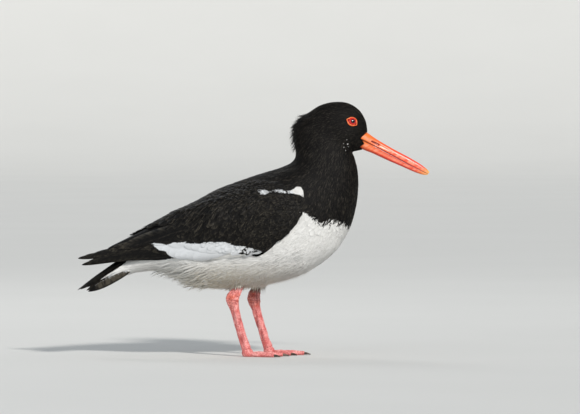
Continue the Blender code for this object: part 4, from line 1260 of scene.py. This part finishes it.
def bill_finish():
    nodes = Nodes("bill", Roughness=0.34, Coat_Weight=0.15, Coat_Roughness=0.3)
    place = nodes.add("ShaderNodeTexCoord").outputs["Object"]
    tilt = nodes.add("ShaderNodeMapping")
    nodes.feed(tilt, Vector=place, Rotation=(0, BILL_SLOPE, 0))
    grain = nodes.noise(tilt.outputs[0], 420.0, 3.0, (0.12, 1.0, 1.0))
    cloud = nodes.noise(place, 60.0, 2.0)
    run = nodes.carried("run").outputs["Fac"]
    rise = nodes.carried("rise").outputs["Fac"]
    colour = nodes.mix(nodes.remap(run, 0.05, 0.45), BILL_BASE, BILL_MIDDLE)
    colour = nodes.mix(nodes.remap(nodes.math("ADD", run, nodes.math("MULTIPLY", cloud, 0.12)), 0.72, 1.0),
                       colour, BILL_TIP)
    deep = nodes.math("MULTIPLY", nodes.remap(rise, 0.45, 0.95), nodes.carried("deep").outputs["Fac"])
    deep = nodes.math("MULTIPLY", deep, nodes.remap(run, 0.9, 0.7))
    colour = nodes.mix(deep, colour, BILL_DEEP)
    # Painted highlight: pale pink streaks along the middle of each half, on the outer ridge and in the grooves.
    band = nodes.math("MULTIPLY", nodes.remap(rise, 0.12, 0.3), nodes.remap(rise, 0.75, 0.5))
    highlight_streak = nodes.math("MULTIPLY", band, nodes.remap(grain, 0.4, 0.62, 0.15, 0.85))
    colour = nodes.mix(highlight_streak, colour, BILL_PAINTED_HIGHLIGHT)
    ridge_highlight = nodes.remap(rise, 0.95, 1.0, 0.0, 0.5)
    colour = nodes.mix(ridge_highlight, colour, BILL_PAINTED_HIGHLIGHT)
    colour = nodes.mix(nodes.math("MULTIPLY", nodes.carried("groove").outputs["Fac"], 0.35),
                       colour, BILL_PAINTED_HIGHLIGHT)
    # Painted shade: near-black along the mouth slit and in the nostril.
    edge = nodes.remap(rise, 0.02, 0.16, 0.8, 0.0)
    colour = nodes.mix(edge, colour, BILL_PAINTED_SHADE)
    colour = nodes.mix(nodes.carried("slit").outputs["Fac"], colour, BILL_PAINTED_SHADE)
    nodes.feed(nodes.shader, Base_Color=colour)
    nodes.feed(nodes.shader, Roughness=nodes.remap(grain, 0.3, 0.7, 0.28, 0.42))
    nodes.feed(nodes.shader, Normal=nodes.bump(grain, 0.25, 0.0002))
    return nodes.material


BILL_FINISH = bill_finish()


# The eyes: a ball with iris and pupil, and a pointed ring of bare skin.
EYE_OUT = np.array([0.345, 0.917, 0.207])
EYE_RADIUS = 4.95
EYE_RINGS, EYE_COLUMNS = 40, 64
RING_HALF_SIZES = (4.8, 4.15)
RING_WIDTH, RING_HEIGHT, RING_OUT = 0.52, 0.56, 0.25
# The ring's two corners: their angle, how far each reaches out, and how wide it is.
RING_CORNERS = ((-38, 1.0, 16), (160, 1.1, 16))
RING_STEPS, RING_COLUMNS = 96, 12
RING_REST, RING_FALL = 4.4, 0.16


def eye_axes():
    """Along the head, up the head and outwards, at the left eye."""
    out = unit(EYE_OUT)
    along = unit(np.array([1.0, 0, 0]) - out * out[0])
    up = np.cross(along, out)
    return along, up * np.sign(up[2]), out


def make_eye(side_name):
    side = SIDES[side_name]
    along, up, out = eye_axes()
    lean = np.linspace(0, math.radians(100), EYE_RINGS)[:, None]
    turn = np.linspace(0, 2 * math.pi, EYE_COLUMNS, endpoint=False)[None, :]
    radial = along * np.cos(turn)[..., None] + up * np.sin(turn)[..., None]
    lean = np.maximum(lean, 0.002)
    points = EYE_MIDDLE + EYE_RADIUS * (np.sin(lean)[..., None] * radial + np.cos(lean)[..., None] * out)
    mesh = mesh_from("eyeball_" + side_name, mirrored(points, side),
                     loft_faces(EYE_RINGS, EYE_COLUMNS, flip=side > 0))
    add_value(mesh, "from_axis", EYE_RADIUS * np.sin(lean) * np.ones_like(turn))
    turns = np.stack([np.cos(turn) * np.ones_like(lean), np.sin(turn) * np.ones_like(lean),
                      np.zeros((EYE_RINGS, EYE_COLUMNS))], axis=-1)
    vector = mesh.attributes.new("turn", "FLOAT_VECTOR", "POINT")
    vector.data.foreach_set("vector", np.ascontiguousarray(turns, np.float32).ravel())
    ball = finish_object(mesh.name, mesh, EYE_FINISH)
    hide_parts("eye_" + side_name)


def make_eye_ring(side_name):
    side = SIDES[side_name]
    along, up, out = eye_axes()
    turn = np.linspace(0, 2 * math.pi, RING_STEPS, endpoint=False)
    stretch = np.ones_like(turn)
    for angle, size, width in RING_CORNERS:
        gap = (np.degrees(turn) - angle + 180) % 360 - 180
        stretch = stretch + size / RING_HALF_SIZES[0] * np.exp(-(gap / width) ** 2)
    flat = np.stack([RING_HALF_SIZES[0] * np.cos(turn), RING_HALF_SIZES[1] * np.sin(turn)], axis=-1)
    flat = flat * stretch[:, None]
    around = np.linspace(0, 2 * math.pi, RING_COLUMNS, endpoint=False)
    wide = 1 + RING_WIDTH * np.cos(around)[None, :] / np.linalg.norm(flat, axis=1)[:, None]
    reach = flat[:, None, :] * wide[..., None]
    rho = np.linalg.norm(reach, axis=-1)
    depth = np.sqrt(EYE_RADIUS**2 - np.minimum(rho, RING_REST) ** 2) - RING_FALL * np.maximum(rho - RING_REST, 0)
    depth = depth + RING_HEIGHT * np.sin(around)[None, :] + RING_OUT
    points = EYE_MIDDLE + reach[..., :1] * along + reach[..., 1:] * up + depth[..., None] * out
    faces = loft_faces(RING_STEPS, RING_COLUMNS, flip=side > 0)[:-2]
    last = (RING_STEPS - 1) * RING_COLUMNS
    for k in range(RING_COLUMNS):
        n = (k + 1) % RING_COLUMNS
        quad = (last + k, k, n, last + n)
        faces.append(quad[::-1] if side > 0 else quad)
    mesh = mesh_from("eye_ring_" + side_name, mirrored(points, side), faces)
    ring = finish_object(mesh.name, mesh, RING_FINISH)
    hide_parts("eyelid_" + side_name)


def eye_finish():
    nodes = Nodes("eye", Roughness=0.14, Specular_IOR_Level=0.25, Coat_Weight=0.5, Coat_Roughness=0.02)
    reach = nodes.carried("from_axis").outputs["Fac"]
    rays = nodes.noise(nodes.carried("turn").outputs["Vector"], 9.0, 3.0)
    iris = nodes.mix(nodes.remap(rays, 0.35, 0.7), (0.42, 0.006, 0.010), (0.66, 0.022, 0.016))
    iris = nodes.mix(nodes.remap(reach, 3.5, 4.2, 0.0, 0.75), iris, (0.22, 0.004, 0.006))
    edge = nodes.math("ADD", reach, nodes.math("MULTIPLY", rays, 0.3))
    nodes.feed(nodes.shader, Base_Color=nodes.mix(nodes.remap(edge, 2.2, 2.4), (0.002, 0.002, 0.003), iris))
    return nodes.material


def ring_finish():
    nodes = Nodes("eye_ring", Roughness=0.42)
    grain = nodes.noise(nodes.add("ShaderNodeTexCoord").outputs["Object"], 900.0, 3.0)
    colour = nodes.mix(nodes.remap(grain, 0.35, 0.65), (0.88, 0.10, 0.02), (0.95, 0.24, 0.06))
    nodes.feed(nodes.shader, Base_Color=colour)
    nodes.feed(nodes.shader, Normal=nodes.bump(grain, 0.5, 0.0003))
    return nodes.material


EYE_FINISH = eye_finish()
RING_FINISH = ring_finish()


# The legs: one skin over each shank and foot, with scales raised on it.
LEG_VOXEL = 0.36
LEG_SMOOTH = 3
LEG_SWELL, ANKLE_SWELL, ANKLE_HEIGHT, ANKLE_SPREAD = 0.45, 0.7, 57.0, 7.0
SCALE_HEIGHT = 0.25
# Long soft folds down the shank, and short wrinkles round the ankle: height, and size across
# and along the leg.
FOLD_HEIGHT, FOLD_SIZE = 0.55, (2.4, 2.4, 17.0)
WRINKLE_HEIGHT, WRINKLE_SIZE = 0.5, (5.0, 5.0, 1.7)
TOES_BELOW = 11.0


def scale_height(point):
    """The height of the scales and folds at a place on a leg, in millimetres, and how deep
    in a crease it lies, which the finish darkens: the seams between scales, and as painted shade the troughs of folds
    and wrinkles."""
    x, y, z = point
    size = (2.0, 1.7, 1.7) if z < TOES_BELOW else (1.4, 1.4, 1.5)
    near = noise.voronoi(Vector((x / size[0], y / size[1], z / size[2])))[0]
    crease = min(1.0, (near[1] - near[0]) / 0.28)
    fold = noise.noise(Vector([value / step for value, step in zip(point, FOLD_SIZE)]))
    wrinkle = noise.noise(Vector([value / step for value, step in zip(point, WRINKLE_SIZE)]))
    ankle = math.exp(-(((z - ANKLE_HEIGHT) / ANKLE_SPREAD) ** 2))
    shank = min(1.0, max(0.0, (z - TOES_BELOW) / 6))
    height = SCALE_HEIGHT * (crease - 1) + FOLD_HEIGHT * fold * shank + WRINKLE_HEIGHT * wrinkle * ankle
    deep = max(0.0, -fold) * shank + max(0.0, -wrinkle) * ankle
    return height, min(1.0, 0.8 * (1 - crease) + 1.3 * deep)


def make_leg(side_name):
    joined = bmesh.new()
    for part in ("shank_", "foot_"):
        joined.from_mesh(bpy.data.objects[part + side_name].data)
    mesh = bpy.data.meshes.new("leg_skin_" + side_name)
    joined.to_mesh(mesh)
    joined.free()
    leg = finish_object(mesh.name, mesh, LEG_FINISH)
    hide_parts("shank_" + side_name, "foot_" + side_name)
    remesh = leg.modifiers.new("one_skin", "REMESH")
    remesh.mode = "VOXEL"
    remesh.voxel_size = LEG_VOXEL * MM
    smooth = leg.modifiers.new("smooth", "SMOOTH")
    smooth.iterations = LEG_SMOOTH
    apply_modifiers(leg)
    raise_scales(leg.data, LEG_SHADE_FROM[side_name])


def apply_modifiers(obj):
    """Makes the result of an object's modifiers its own mesh."""
    evaluated = obj.evaluated_get(bpy.context.evaluated_depsgraph_get())
    made = bpy.data.meshes.new_from_object(evaluated)
    name, old = obj.data.name, obj.data
    obj.modifiers.clear()
    obj.data = made
    bpy.data.meshes.remove(old)
    made.name = name
    made.shade_smooth()


def raise_scales(mesh, shade_from):
    count = len(mesh.vertices)
    points = np.empty(count * 3, np.float32)
    normals = np.empty(count * 3, np.float32)
    mesh.vertices.foreach_get("co", points)
    mesh.vertices.foreach_get("normal", normals)
    points, normals = points.reshape(-1, 3) / MM, normals.reshape(-1, 3)
    found = np.array([scale_height(point) for point in points.tolist()])
    low = np.clip(points[:, 2] / 1.2, 0, 1)
    ankle = np.exp(-(((points[:, 2] - ANKLE_HEIGHT) / ANKLE_SPREAD) ** 2))
    swell = found[:, 0] + LEG_SWELL + ANKLE_SWELL * ankle
    points = points + normals * (swell * low)[:, None]
    points[:, 2] = np.maximum(points[:, 2], 0)
    mesh.vertices.foreach_set("co", (points * MM).ravel())
    # The crease value darkens the seams between scales, and paints shade in the troughs of the folds and wrinkles.
    add_value(mesh, "crease", found[:, 1])
    add_value(mesh, "height", points[:, 2])
    # Painted shade: how far above the start of the dull brown each point lies.
    add_value(mesh, "dull", points[:, 2] - shade_from)


# The dark red marks the seams between scales, and is painted shade in the troughs of the folds and wrinkles.
LEG_PALE, LEG_PINK, LEG_CREASE_RED_AND_SHADE = (0.86, 0.38, 0.36), (0.68, 0.155, 0.145), (0.30, 0.022, 0.020)
# The height above which each shank turns dull brown under its feathers: painted shade, starting lower on the far,
# shaded leg.
LEG_SHADE_FROM = {"right": 73.0, "left": 63.0}
LEG_ORANGE, LEG_SHADE_BROWN = (0.74, 0.17, 0.075), (0.16, 0.11, 0.085)


def leg_finish():
    nodes = Nodes("leg_skin", Roughness=0.5)
    place = nodes.add("ShaderNodeTexCoord").outputs["Object"]
    cloud = nodes.noise(place, 140.0, 3.0)
    grain = nodes.noise(place, 1500.0, 2.0)
    height = nodes.carried("height").outputs["Fac"]
    ankle = nodes.math("MULTIPLY", nodes.remap(height, 44, 52), nodes.remap(height, 68, 60))
    base = nodes.mix(nodes.math("MULTIPLY", ankle, 0.6), LEG_PINK, LEG_ORANGE)
    colour = nodes.mix(nodes.remap(cloud, 0.35, 0.62), base, LEG_PALE)
    # Darker red in the creases: seams between scales, and painted shade in the fold troughs.
    crease = nodes.carried("crease").outputs["Fac"]
    colour = nodes.mix(nodes.remap(crease, 0.1, 0.9, 0.0, 0.75), colour, LEG_CREASE_RED_AND_SHADE)
    # Painted shade: dull brown up the shank under the body's feathers.
    shaded_top = nodes.math("ADD", nodes.carried("dull").outputs["Fac"], nodes.math("MULTIPLY", cloud, 3.0))
    colour = nodes.mix(nodes.remap(shaded_top, 0.0, 3.5, 0.0, 0.85), colour, LEG_SHADE_BROWN)
    nodes.feed(nodes.shader, Base_Color=colour)
    nodes.feed(nodes.shader, Roughness=nodes.remap(grain, 0.3, 0.7, 0.42, 0.6))
    nodes.feed(nodes.shader, Normal=nodes.bump(grain, 0.3, 0.0002))
    return nodes.material


LEG_FINISH = leg_finish()


def claw_finish():
    nodes = Nodes("claw", Roughness=0.35)
    place = nodes.add("ShaderNodeTexCoord").outputs["Object"]
    grain = nodes.noise(place, 420.0, 3.0, (0.3, 1.0, 1.0))
    colour = nodes.mix(nodes.remap(grain, 0.35, 0.7), (0.035, 0.022, 0.018), (0.16, 0.10, 0.07))
    nodes.feed(nodes.shader, Base_Color=colour)
    nodes.feed(nodes.shader, Normal=nodes.bump(grain, 0.3, 0.0002))
    return nodes.material


def finish_claws():
    horn = claw_finish()
    for node in bpy.data.objects:
        if node.name.startswith("claw_"):
            node.data.materials.clear()
            node.data.materials.append(horn)


make_skin()
make_body_coat()
make_cheek_specks()
make_tufts()
for wing_side in SIDES:
    make_wing_shell(wing_side)
    make_wing(wing_side)
    make_eye(wing_side)
    make_eye_ring(wing_side)
    make_leg(wing_side)
    make_thigh(wing_side)
make_tail()
make_bill_half("bill_upper_horn", CULMEN, True)
make_bill_half("bill_lower_horn", GONYS, False)
finish_claws()


# Studio.
PHOTO_WIDTH, PHOTO_HEIGHT = 580, 414
PHOTO_MIDDLE = (36.5, 149.0)
CAMERA_DISTANCE = 6.0
CAMERA_ANGLE = math.radians(1.5)
SENSOR = 36.0
FLOOR_REACH, WALL_CURVE, FLOOR_SIDES = 9.0, 4.0, 96
FLOOR_DARK, FLOOR_LIGHT = (0.62, 0.62, 0.60), (0.66, 0.66, 0.64)
SUN_FROM = (1.0, -1.9, 1.35)
SUN_STRENGTH, SUN_SPREAD = 3.0, math.radians(7)


def make_floor():
    """A round floor that curves up into a low wall far outside every camera's place."""
    turn = np.linspace(0, math.radians(80), 12)
    reach = np.concatenate([np.linspace(0.2, FLOOR_REACH, 8), FLOOR_REACH + WALL_CURVE * np.sin(turn)[1:]])
    height = np.concatenate([np.zeros(8), WALL_CURVE * (1 - np.cos(turn))[1:]])
    around = np.linspace(0, 2 * math.pi, FLOOR_SIDES, endpoint=False)
    points = np.stack([reach[:, None] * np.cos(around), reach[:, None] * np.sin(around),
                       height[:, None] + np.zeros(FLOOR_SIDES)], axis=-1)
    faces = loft_faces(len(reach), FLOOR_SIDES)[:-1]
    floor_mesh = mesh_from("floor", points / MM, faces)
    floor = bpy.data.objects.new("floor", floor_mesh)
    bpy.context.scene.collection.objects.link(floor)
    nodes = Nodes("floor", Roughness=0.9)
    tint = nodes.noise(nodes.add("ShaderNodeTexCoord").outputs["Object"], 3.0, 3.0)
    nodes.feed(nodes.shader, Base_Color=nodes.mix(tint, FLOOR_DARK, FLOOR_LIGHT))
    floor_mesh.materials.append(nodes.material)


def make_light(name, place, target, size, power, color):
    light = bpy.data.lights.new(name, "AREA")
    light.shape = "DISK"
    light.size = size
    light.energy = power
    light.color = color
    obj = bpy.data.objects.new(name, light)
    bpy.context.scene.collection.objects.link(obj)
    obj.location = place
    obj.rotation_euler = (Vector(target) - Vector(place)).to_track_quat("-Z", "Y").to_euler()


def make_studio():
    make_floor()
    middle = Vector((PHOTO_MIDDLE[0] * MM, 0, PHOTO_MIDDLE[1] * MM))
    sun = bpy.data.lights.new("key", "SUN")
    sun.energy, sun.angle, sun.color = SUN_STRENGTH, SUN_SPREAD, (1.0, 0.97, 0.93)
    key = bpy.data.objects.new("key", sun)
    bpy.context.scene.collection.objects.link(key)
    key.rotation_euler = (-Vector(SUN_FROM)).to_track_quat("-Z", "Y").to_euler()
    make_light("fill", (-1.6, -1.8, 0.9), middle, 1.4, 7, (0.93, 0.96, 1.0))
    make_light("rim", (-0.6, 1.3, 1.5), middle, 0.8, 5, (1.0, 1.0, 1.0))
    world = bpy.data.worlds.new("studio")
    world.use_nodes = True
    background = world.node_tree.nodes["Background"]
    background.inputs["Color"].default_value = (0.85, 0.92, 1.0, 1)
    background.inputs["Strength"].default_value = 0.45
    bpy.context.scene.world = world
    camera = bpy.data.cameras.new("camera")
    camera.sensor_width = SENSOR
    camera.lens = SENSOR * CAMERA_DISTANCE / (PHOTO_WIDTH * MM)
    camera.clip_end = 50
    obj = bpy.data.objects.new("camera", camera)
    bpy.context.scene.collection.objects.link(obj)
    away = Vector((0, -math.cos(CAMERA_ANGLE), math.sin(CAMERA_ANGLE)))
    obj.location = middle + away * CAMERA_DISTANCE
    obj.rotation_euler = (-away).to_track_quat("-Z", "Y").to_euler()
    bpy.context.scene.camera = obj
    bpy.context.scene.view_settings.view_transform = "Standard"


make_studio()
